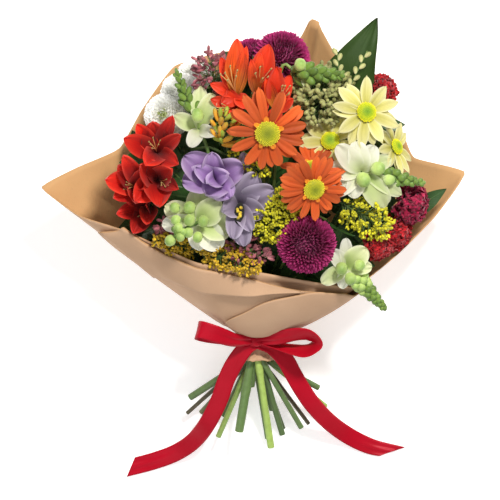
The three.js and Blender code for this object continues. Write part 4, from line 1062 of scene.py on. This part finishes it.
def add_band(growth, radius):
    """The band round the neck, under the knot."""
    turn = np.linspace(0, math.tau, 49)
    rings = []
    for y, out in ((-1, 0), (-0.4, 0.35), (0.4, 0.35), (1, 0), (1, -0.6), (-1, -0.6), (-1, 0)):
        reach = radius + out + 0.25 * np.sin(11 * turn)
        ring = [reach * np.sin(turn), 0 * turn + y * BAND_HALF + BAND_Y, reach * np.cos(turn)]
        rings.append(TIE + np.stack(ring, -1))
    growth.grid(np.array(rings), 0.4)


def add_knot(growth):
    polar = np.linspace(0, math.pi, 15)[:, None]
    around = np.linspace(0, math.tau, 33)[None, :]
    crease = 1 - 0.10 * np.abs(np.sin(3 * around + 0.6)) * np.sin(polar)
    x = np.sin(polar) * np.cos(around) * crease
    y = np.cos(polar) + 0 * around
    z = np.sin(polar) ** 0.7 * np.sin(around) * crease
    growth.grid(at(KNOT) + np.stack([x, y, z], -1) * KNOT_SIZE, 0.6)


def build_ribbon():
    """The bow, and the length of the flat ribbon it is tied from."""
    bow = Growth("satin_bow")
    length = ribbon_strip(bow, LEFT_LOOP, 60, 1.4, 0)
    length += ribbon_strip(bow, RIGHT_LOOP, 56, 1.4, 0)
    length += ribbon_strip(bow, LEFT_TAIL, 64, 1.0, 6)
    length += ribbon_strip(bow, RIGHT_TAIL, 64, 1.0, 11)
    radius = NECK_RADIUS + 0.9
    add_band(bow, radius)
    add_knot(bow)
    length += math.tau * radius + KNOT_TAKES
    return bow.build(["satin"], "ribbon", "ribbon", weld=True), length


# Blooms.
def ring_of_petals(growth, count, root, height, shape, rng, turn, slot, longer):
    """Petals of one shape round a bloom, each a little different from the next. Longer is the
    share by which they grow towards one side and shrink towards the other."""
    for i in range(count):
        around = turn + (i + rng.uniform(-0.2, 0.2)) / count * math.tau
        form = dict(shape)
        form["length"] = shape["length"] * rng.uniform(0.93, 1.05) * (1 + longer * math.sin(around))
        form["width"] = shape["width"] * rng.uniform(0.9, 1.1)
        form["rise"] = shape["rise"] + rng.uniform(-4, 4)
        form["curl"] = shape["curl"] + rng.uniform(-10, 8)
        form["bend"] = rng.uniform(-0.06, 0.06)
        add_petal(growth, growth.place, around, root, height, form, rng.uniform(0, 1), rng, slot)


def build_daisy(name, kind, centre, face, radius):
    rng = seeded(name)
    place = facing(at(centre), face)
    disc = radius * DISC_SHARE[kind]
    petals = Growth(name + "_petals", place)
    shape = {"curl": -12, "cup": 0.22, "ruffle": 0.3, "waves": 2, "round": 0.04}
    groove, outline = (0.4, strap) if kind == "orange" else (0.6, pointed)
    shape.update(groove=groove, profile=outline, rows=14, cols=9)
    turn = rng.uniform(0, 6.28)
    for step, (count, rise, height, share, width, slot) in enumerate(DAISY_WHORLS[kind]):
        form = dict(shape, length=radius * share - disc * 0.5, width=radius * width, rise=rise)
        longer = 0.12 if name == "orange_daisy_1" and slot == 0 else 0
        ring_of_petals(petals, count, disc * 0.5, height, form, rng, turn + 0.26 * step, slot, longer)
    petals.put(upright_tube((-7, -5, -2.6, -0.6), [2.0, 3.4, disc * 0.8, disc * 0.84], 12), 0.3, 1)
    petals.build([kind, "twig", "golden"], name, kind + "_petal")
    build_disc(name, kind, place, disc, rng)


def build_disc(name, kind, place, radius, rng):
    """A low dome with florets in a spiral."""
    disc = Growth(name + "_florets", place)
    turn = np.linspace(0, math.tau, 25)
    dome = [[out * np.cos(turn), out * np.sin(turn), 0 * turn + height] for out, height in DISC_DOME]
    disc.put(radius * np.moveaxis(np.array(dome), 1, 2), 0.1)
    for i in range(DISC_FLORETS):
        share = math.sqrt((i + 0.5) / DISC_FLORETS)
        out = np.array([math.cos(i * GOLDEN_ANGLE), math.sin(i * GOLDEN_ANGLE), 0])
        height = 0.40 * (1 - share**2.6) + 0.05 * math.exp(-((share - 0.7) ** 2) / 0.02)
        size = radius * (0.045 + 0.03 * share)
        spot = radius * (out * share * 0.98 + UP * height)
        floret = ball_points(spot, out * share * 0.8 + UP, size, 1.6, 4, 5)
        disc.put(floret, share * rng.uniform(0.85, 1))
    disc.build([kind + "_disc"], name + "_disc", kind + "_disc")


# Of each kind of pompon: a petal's width as a share of the radius, its cup, ruffle, columns of
# points and outline.
POMPON_FORMS = {"purple": (0.115, 0.9, 0, 4, strap), "white": (0.27, 0.4, 0.35, 5, spoon)}


def build_pompon(name, kind, centre, face, radius):
    """A ball of many narrow petals over a core, shorter and more upright towards the middle."""
    rng = seeded(name)
    head = Growth(name + "_head", facing(at(centre), face))
    width, cup, ruffle, cols, profile = POMPON_FORMS[kind]
    count = POMPON_PETALS[kind]
    core_size = 0.60 * radius
    head.put(ball_points((0, 0, 0.04 * radius), UP, core_size, 0.82, 11, 18), 0.0)
    for i in range(count):
        share = (i + 0.5) / count
        polar = math.acos(1 - share * 1.38)
        inner = 1 - share
        form = {
            "length": radius * (0.42 - 0.10 * inner**3) * rng.uniform(0.92, 1.06),
            "width": radius * width * (1 - 0.3 * inner**2),
            "rise": 90 - math.degrees(polar) * 0.9 + rng.uniform(-5, 5),
            "curl": 22 - 40 * share + rng.uniform(-10, 10),
            "bend": rng.uniform(-0.06, 0.06),
        }
        form.update(cup=cup, ruffle=ruffle, rows=6, cols=cols, profile=profile)
        root = 0.86 * core_size * math.sin(polar)
        height = 0.04 * radius + 0.72 * core_size * math.cos(polar)
        slot = 2 if name == "white_mum_1" and share < 0.045 else 0
        shade = rng.uniform(0, 1) * (0.4 + 0.6 * share)
        add_petal(head, head.place, i * GOLDEN_ANGLE, root, height, form, shade, rng, slot)
    base = upright_tube((-0.55 * radius, -0.4 * radius, -0.1 * radius), [2, 4, radius * 0.4], 10)
    head.put(base, 0.3, 1)
    looks = [kind, "twig", "white_eye"] if kind == "white" else [kind, "twig"]
    head.build(looks, name, kind + "_petal")


def stamens(growth, rng, spread, low, top, slots, thick):
    """Thin curved filaments, each with an anther."""
    for i in range(STAMENS):
        turn = i / STAMENS * math.tau + rng.uniform(0, 0.9)
        reach, height = rng.uniform(0.4, 1.0) * spread, rng.uniform(0.8, 1.0) * top
        path = [(0, 0, low), (reach * 0.3, 0, (low + height) / 2), (reach, 0, height)]
        line = moved(spin(turn), smooth_path(path, 7))
        growth.put(tube_points(line, thick, 5), 0.7, slots[0])
        growth.put(ball_points(line[-1], (0.5, 0.3, 1), thick * 2, 2.0, 5, 6), 0.4, slots[1])


def placed_petals(growth, name, root, slots, rng, **shape):
    """Petals that each reach from the root to a tip of their own, in one of two materials."""
    for tip, width, other in PLACED_PETALS[name]:
        form = {"waves": 2.2, "rows": 18, "cols": 17, **shape}
        form["ruffle"] = width * shape["ruffle"]
        petal = leaf_grid(root, at(tip), UP, width, rng, **form)
        growth.grid(petal, rng.uniform(0.2, 1), slots[other])


# Of each kind of alstroemeria: its tepals' rise, curl and outline, then how far out and up its
# stamens reach and how thick they are.
TRUMPET_FORMS = {
    "red": (16, -20, cupped, 0.18, 0.3, 0.3),
    "scarlet": (24, -44, tepal, 0.26, 0.7, 0.4),
}


def build_trumpet(name, kind, centre, face, radius):
    """Alstroemeria: a deep cup of tepals, the narrower ones streaked."""
    rise, curl, outline, spread, top, thick = TRUMPET_FORMS[kind]
    depth = TRUMPET_DEPTH[kind]
    rng = seeded(name)
    bloom = Growth(name + "_bloom", facing(at(centre), face))
    root = at(centre) - unit(face) * depth
    shape = {"rise": rise, "curl": curl, "cup": 0.5, "ruffle": 0.05, "profile": outline}
    placed_petals(bloom, name, root, (0, 1), rng, **shape)
    stamens(bloom, rng, spread * radius, -0.7 * depth, top * radius, (4, 2), thick)
    bloom.put(upright_tube((-depth - 5, -depth - 2, -depth + 1), [1.5, 2.6, 3.4], 12), 0.5, 3)
    bloom.build([kind, "inner_" + kind, "anther", "twig", "filament"], name, kind + "_petal")


def build_lisianthus(name, kind, centre, face):
    """A few large ruffled petals, rolled over one another in the middle."""
    rng = seeded(name)
    bloom = Growth(name + "_bloom", facing(at(centre), face))
    root = at(centre) - unit(face) * LISIANTHUS_DEPTH
    shape = {"rise": 34, "curl": -56, "cup": 0.34, "ruffle": 0.09, "roll": 0.4, "bend": 0.1}
    placed_petals(bloom, name, root, (0, 0), rng, profile=shell, **shape)
    if kind == "pale_lavender":
        # Painted shade: a near-black ball deep in the opening, with the anthers over it.
        throat = at(THROAT)
        bloom.grid(ball_points(throat, (-0.1, -1, 0.2), 4.6, 2.2, 11, 14), 0.2, 3)
        for i in range(THROAT_ANTHERS):
            spot = throat + [rng.uniform(-2, 2), 5 - 1.5 * i, 4.4]
            anther = ball_points(spot, (rng.uniform(-0.5, 0.5), 0.3, 1), 1.6, 1.6, 6, 7)
            bloom.grid(anther, rng.uniform(0.2, 1), 1)
    bloom.put(upright_tube((-16, -14, -11.5), [2, 4, 5], 10), 0.4, 2)
    bloom.build([kind, "golden_anther", "twig", "throat"], name, "lavender_petal")


def build_carnation(name, kind, centre, face, radius):
    rng = seeded(name)
    bloom = Growth(name + "_bloom", facing(at(centre), face))
    for i in range(CARNATION_PETALS):
        share = i / (CARNATION_PETALS - 1)
        form = {
            "length": radius * (0.60 + 0.38 * share) * rng.uniform(0.9, 1.04),
            "width": radius * (0.36 + 0.26 * share),
            "rise": 86 - 80 * share + rng.uniform(-9, 9),
            "curl": rng.uniform(-26, 18),
            "ruffle": radius * 0.10,
        }
        form.update(cup=0.3, waves=4.2, teeth=0.7, round=0.10, rows=7, cols=11, profile=fan)
        turn, height = i * GOLDEN_ANGLE, radius * (0.2 * (1 - share) - 0.1)
        add_petal(bloom, bloom.place, turn, 0.1 * radius, height, form, rng.uniform(0, 1), rng)
    base = upright_tube((-0.27 * radius, -0.1 * radius, 0.1 * radius), [2, 3.4, radius * 0.3], 10)
    bloom.put(base, 0.4, 1)
    bloom.build([kind + "_frill", "twig"], name, "crimson_petal")


def spike_frame(base, tip):
    """The matrix at a spray's foot that turns +Z along it, and the spray's length."""
    start = at(base)
    way = at(tip) - start
    return facing(start, way), float(np.linalg.norm(way))


def add_bud(growth, place, centre, way, size, stretch, slots, rng, turn=0.0):
    """A bud in the small calyx it grows from. Slots are the bud's and the calyx's materials."""
    bud = ball_points(centre, way, size, stretch, 11, 13, 0.3 if stretch > 1.4 else 0.12, 0.1)
    growth.grid(moved(place, bud), rng.uniform(0.2, 1), slots[0])
    form = {"length": size * 1.5, "width": size, "rise": 18, "curl": 66, "rows": 6, "cols": 4}
    form["profile"] = lance
    calyx = place @ facing(centre - unit(way) * size * stretch * 0.94, way)
    for leaf in range(3):
        add_petal(growth, calyx, leaf * 2.1 + turn, 0.1, 0, form, 0.5, rng, slots[1])


def build_snapdragon(name, base, tip, count, bud_size, stretch, below):
    """A spike: open petals round its foot, large round buds, then small ones close to its end."""
    rng = seeded(name)
    place, length = spike_frame(base, tip)
    spike = Growth(name + "_spike", place)
    stalk = smooth_path([(0, 0, 0), (0.4, 0.3, length / 2), (0, 0, length)], 8)
    spike.put(tube_points(stalk, np.linspace(2.2, 0.7, 8), 8), 0.5, 2)
    foot = at(base)
    root = foot + (at(tip) - foot) * 0.12 + [0, 0, 1]
    shape = {"rise": 34, "curl": -66, "cup": 0.3, "ruffle": 0.05, "profile": shell}
    placed_petals(spike, name, root, (0, 5), rng, **shape)
    for point, size in SNAP_BUDS[name]:
        way = unit(at(point) - foot + [0, 0, 6])
        add_bud(spike, np.eye(4), at(point), way, size, 1.12, (1, 3), rng)
    # Buds that shrink towards the tip and lie closer to it.
    for i in range(count):
        share = (i + 0.6) / count
        size = bud_size * (1 - 0.52 * share**1.2)
        out = np.array([math.cos(i * GOLDEN_ANGLE), math.sin(i * GOLDEN_ANGLE), 0])
        height = length * (below + (1 - below) * share) - 0.3 * size
        centre = out * size * (1.25 - 0.75 * share) + UP * height
        slot = 1 if stretch < 1.1 and share < 0.4 else 4
        add_bud(spike, place, centre, out * 0.7 + UP, size * 0.8, stretch, (slot, 3), rng, i)
    slots = ["snap_petal", "snap_bud", "twig", "calyx", "snap_tip", "snap_white"]
    spike.build(slots, name, "snapdragon")


def plume_spots(width, length, count, rng):
    """Tufts through a plume: a place and the way each one looks."""
    for i in range(count):
        share = (i + rng.uniform(0, 1)) / count
        bulge = math.sin(math.pi * (0.2 + 0.72 * share)) ** 0.7
        reach = width * 0.5 * bulge * rng.uniform(0.35, 1.25) ** 0.6
        turn = i * GOLDEN_ANGLE + rng.uniform(-0.3, 0.3)
        height = length * (0.1 + 0.9 * share) + rng.uniform(-1.5, 1.5)
        out = np.array([math.cos(turn), math.sin(turn), 0])
        yield out * reach + UP * height, unit(out + UP * (share * 1.6 - 0.3))


def bent_twig(start, end, bow, radii, sides):
    """A twig that bends up a little halfway."""
    return tube_points([start, (start + end) / 2 + UP * bow, end], radii, sides)


def seed_sprig(plume, start, end, buds, rng):
    """A thin sprig with seed buds on alternate sides."""
    way = unit(end - start)
    across = unit(np.cross(way, UP))
    plume.grid(bent_twig(start, end, 0.6, 0.45, 5), 0.4, 1)
    for i in range(buds):
        side = across if i % 2 else -across
        spot = start + (end - start) * (i + 0.5) / buds + side * 2
        plume.grid(ball_points(spot, way + side * 0.5, 2.4, 1.5, 9, 10, 0.3), rng.uniform(0.5, 1), 0)


def build_plume(name, kind, base, tip, width, count):
    """A spray: tufts of small florets or buds, each tuft on a twig of its own."""
    rng = seeded(name)
    place, length = spike_frame(base, tip)
    plume = Growth(name + "_spray", place)
    stalk = [(0, 0, 0), (0.3, 0, length / 2), (0, 0, length * 0.8)]
    plume.put(tube_points(stalk, [1.2, 0.9, 0.5], 6), 0.5, 1)
    slot, radius, stretch, rows, sides, tuft, ring = PLUME_HABITS[kind]
    # All the places are drawn before the first tuft.
    spots = list(plume_spots(width, length, max(6, count // tuft), rng))
    for spot, way in spots:
        plume.put(bent_twig(UP * max(spot[2] - 0.225 * width, 0), spot, 0.6, 0.4, 5), 0.4, 1)
        for _ in range(tuft):
            off = rng.normal(0, 1, 3)
            off = unit(off) * ring * rng.uniform(0.5, 1.0) if ring else np.zeros(3)
            size = radius * rng.uniform(0.8, 1.2)
            lean = unit(way + unit(off + 1e-6) * 0.7 + rng.normal(0, 0.2, 3))
            longer = stretch * rng.uniform(0.85, 1.15)
            bud = ball_points(spot + off, lean, size, longer, rows, sides, 0.3)
            golden = kind == "bud" and rng.uniform(0, 1) < 0.55
            plume.put(bud, rng.uniform(0, 1), 2 if golden else 0)
    if kind == "seed":
        for start, end, buds in SEED_SPRIGS:
            seed_sprig(plume, at(start), at(end), buds, rng)
    plume.build([kind, "twig", "golden_bud"], name, slot)


def leaf_grid(root, tip, up, width, rng, **shape):
    """A leaf or petal that reaches from a root to a tip. Shape changes its form."""
    along = tip - root
    side = unit(np.cross(up, along))
    turn = np.eye(4)
    turn[:3] = np.stack([unit(along), side, unit(np.cross(along, side)), root], 1)
    form = {"length": float(np.linalg.norm(along)), "width": width, "rise": 5, "curl": -10}
    form.update(cup=0.22, ruffle=width * 0.03, waves=3, rows=14, cols=9, profile=lance)
    return moved(turn, petal_points({**form, **shape}, rng))


def build_leaves():
    for name, base, tip, up, width in LEAVES:
        rng = seeded(name)
        leaf = Growth(name + "_blade")
        look, rows, cols, outline = "leaf", 16, 9, lance
        if name == "broad_leaf":
            look, rows, cols, outline = "broad", 26, 15, blade
        form = leaf_grid(at(base), at(tip), up, width, rng, rows=rows, cols=cols, profile=outline)
        leaf.grid(form, 0.5)
        leaf.build([look], name, "leaf")
    for name, twigs in FOLIAGE.items():
        rng = seeded(name)
        spray = Growth(name + "_spray")
        for start, end in twigs:
            leafy_branch(spray, at(start), at(end), rng)
        spray.build(["leaf", "twig"], name, "leaf")


def leafy_branch(spray, start, end, rng):
    """A twig with leaves on both sides, close enough together to shade what lies below."""
    along = end - start
    length = float(np.linalg.norm(along))
    way = along / length
    across = unit(np.cross(way, UP))
    spray.grid(bent_twig(start, end, 1.5, [1.4, 1.1, 0.4], 7), 0.5, 1)
    count = max(6, int(length / LEAF_SPACING))
    for i in range(count):
        root = start + along * (0.12 + 0.86 * i / count)
        side = across if i % 2 else -across
        reach = min(34, length * 0.5) * rng.uniform(0.8, 1.1)
        tip = root + way * reach * 0.72 + side * reach * rng.uniform(0.5, 0.8)
        tip = tip + UP * reach * rng.uniform(-0.1, 0.3)
        spray.grid(leaf_grid(root, tip, UP, 17, rng, rows=10, cols=7), rng.uniform(0, 1))


def stem_tops():
    """The top of each bloom's stem and the way it runs there."""
    tops = [(centre, face, -7) for _, _, centre, face, _ in DAISIES]
    tops += [(centre, face, -0.34 * radius) for _, _, centre, face, radius in POMPONS]
    tops += [(centre, face, -TRUMPET_DEPTH[kind] - 3) for _, kind, centre, face, _ in TRUMPETS]
    tops += [(centre, face, -LISIANTHUS_DEPTH - 3) for _, _, centre, face in LISIANTHUS]
    tops += [(centre, face, -0.27 * radius) for _, _, centre, face, radius in CARNATIONS]
    tops += [(base, np.subtract(tip, base), 0) for _, base, tip, *_ in SNAPDRAGONS]
    return [(at(centre) + unit(face) * foot, unit(face)) for centre, face, foot in tops]


def neck_point(across, up, thick, along):
    """A stem's place in the round neck, where across and up run from -1 to 1."""
    spread = np.array([across, 0, up])
    if np.linalg.norm(spread) > 1:
        spread = unit(spread)
    return TIE + spread * (CORE_RADIUS - thick / 2 - 0.8) + [0, along, 0]


def add_core(stems):
    turn = np.linspace(0, math.tau, 21)
    rings = []
    for y, rx, rz, rise in CORE_RINGS:
        rings.append(TIE + np.stack([rx * np.cos(turn), 0 * turn + y, rise + rz * np.sin(turn)], -1))
    stems.grid(np.array(rings), 0.35)


def add_forks(stems, rng):
    """A stem from the bundle to each bloom, and a thinner one from the nearest of them to each
    plume, leaf and leafy stem."""
    forks = []
    for end, direction in stem_tops():
        away = end - TIE
        spread = np.array([away[0] / 130, 0, (away[2] - 75) / 60])
        spread = spread * min(1, 0.85 / np.linalg.norm(spread))
        out, up = spread[0] * BUNDLE_SPREAD[0], spread[2] * BUNDLE_SPREAD[1] + BUNDLE_RISE
        neck = TIE + [out, BUNDLE_FRONT - 12, up]
        below = end - direction * STRAIGHT_END
        path = smooth_path([neck, (neck + below) / 2 + rng.normal(0, 1.2, 3), below, end], 16)
        stem = tube_points(path, STEM_RADIUS * np.linspace(1.1, 0.9, 16), 8)
        stems.grid(stem, rng.uniform(0.4, 0.95))
        forks.append(path[8])
    sprays = [row[2:4] for row in PLUMES] + [row[1:3] for row in LEAVES]
    sprays += [twigs[0] for twigs in FOLIAGE.values()]
    for base, tip in sprays:
        end = at(base)
        direction = unit(np.subtract(tip, base))
        below = end - direction * STRAIGHT_END
        start = min(forks, key=lambda fork: np.linalg.norm(fork - (below - direction * 30)))
        path = smooth_path([start, (start + below) / 2, below, end], 12)
        stems.grid(tube_points(path, TWIG_RADIUS, 6), rng.uniform(0.4, 0.9))


def add_cut_stems(stems, rng):
    """The stems below the tie, in the order they stand round the neck, each with one node."""
    order = sorted(CUT_ENDS, key=lambda end: math.atan2(end[2] - 26, end[0]))
    for i, (x, y, z, thick, shade) in enumerate(order):
        turn = (i + 0.5) / len(order) * math.tau - math.pi
        reach = 0.88 if i % 3 else 0.4 + 0.01 * i
        slot = (reach * math.cos(turn), reach * math.sin(turn), thick)
        start = neck_point(*slot, CORE_BACK + 3)
        leaving = neck_point(*slot, NECK_FRONT - SKIRT)
        path = smooth_path([start, leaving, at((x, y, z))], 30)
        grain = 1 + 0.035 * np.sin(np.linspace(0, 9, 30) + i)
        node = 1 + 0.22 * np.exp(-(((np.linspace(0, 1, 30) - rng.uniform(0.5, 0.8)) / 0.025) ** 2))
        radii = thick / 2 * grain * node
        stems.grid(tube_points(path, radii, 12), shade)
        cut = tube_points([path[-1], path[-1] + (path[-1] - path[-2]) * 0.02], [radii[-1], 0.01], 12)
        stems.grid(cut, 0.9, 1)


def build_stems():
    rng = seeded("stems")
    stems = Growth("stem_bundle")
    add_core(stems)
    add_forks(stems, rng)
    add_cut_stems(stems, rng)
    stems.build(["stem", "snap_bud"], "stems", "stem")


build_paper()
bow, bow_length = build_ribbon()
for build, rows in (
    (build_daisy, DAISIES),
    (build_pompon, POMPONS),
    (build_trumpet, TRUMPETS),
    (build_lisianthus, LISIANTHUS),
    (build_carnation, CARNATIONS),
    (build_snapdragon, SNAPDRAGONS),
    (build_plume, PLUMES),
):
    for row in rows:
        build(*row)
build_leaves()
build_stems()


# The floor, the lights and the camera, which looks straight down on the bouquet.
def make_floor():
    bpy.ops.mesh.primitive_plane_add(size=8, location=(0, 0, -0.0002))
    floor = bpy.context.object
    floor.name = "studio_floor"
    floor.data.materials.append(floor_material())


def add_light(name, place, target, size, power, colour):
    data = bpy.data.lights.new(name, "AREA")
    data.size = size
    data.energy = power
    data.color = colour
    lamp = bpy.data.objects.new(name, data)
    lamp.location = place
    lamp.rotation_euler = (Vector(target) - Vector(place)).to_track_quat("-Z", "Y").to_euler()
    bpy.context.scene.collection.objects.link(lamp)


def make_lights():
    world = bpy.data.worlds.new("studio_air")
    world.use_nodes = True
    world.node_tree.nodes["Background"].inputs["Color"].default_value = (1, 1, 1, 1)
    world.node_tree.nodes["Background"].inputs["Strength"].default_value = AIR_GLOW
    bpy.context.scene.world = world
    add_light("key", (0.42, 0.80, 1.6), (0, 0, 0.05), 0.26, 36, (1, 0.97, 0.92))
    add_light("fill", (-0.8, -1.2, 1.6), (0, 0, 0.05), 2.0, 16, (0.95, 0.98, 1))


def make_camera():
    data = bpy.data.cameras.new("camera")
    camera = bpy.data.objects.new("camera", data)
    data.sensor_width = SENSOR
    data.lens = SENSOR * CAMERA_DISTANCE / VIEW_WIDTH
    camera.location = (VIEW_CENTRE[0], VIEW_CENTRE[1], VIEW_HEIGHT + CAMERA_DISTANCE)
    bpy.context.scene.collection.objects.link(camera)
    bpy.context.scene.camera = camera


make_floor()
make_lights()
make_camera()
bpy.context.scene.view_settings.view_transform = "Standard"
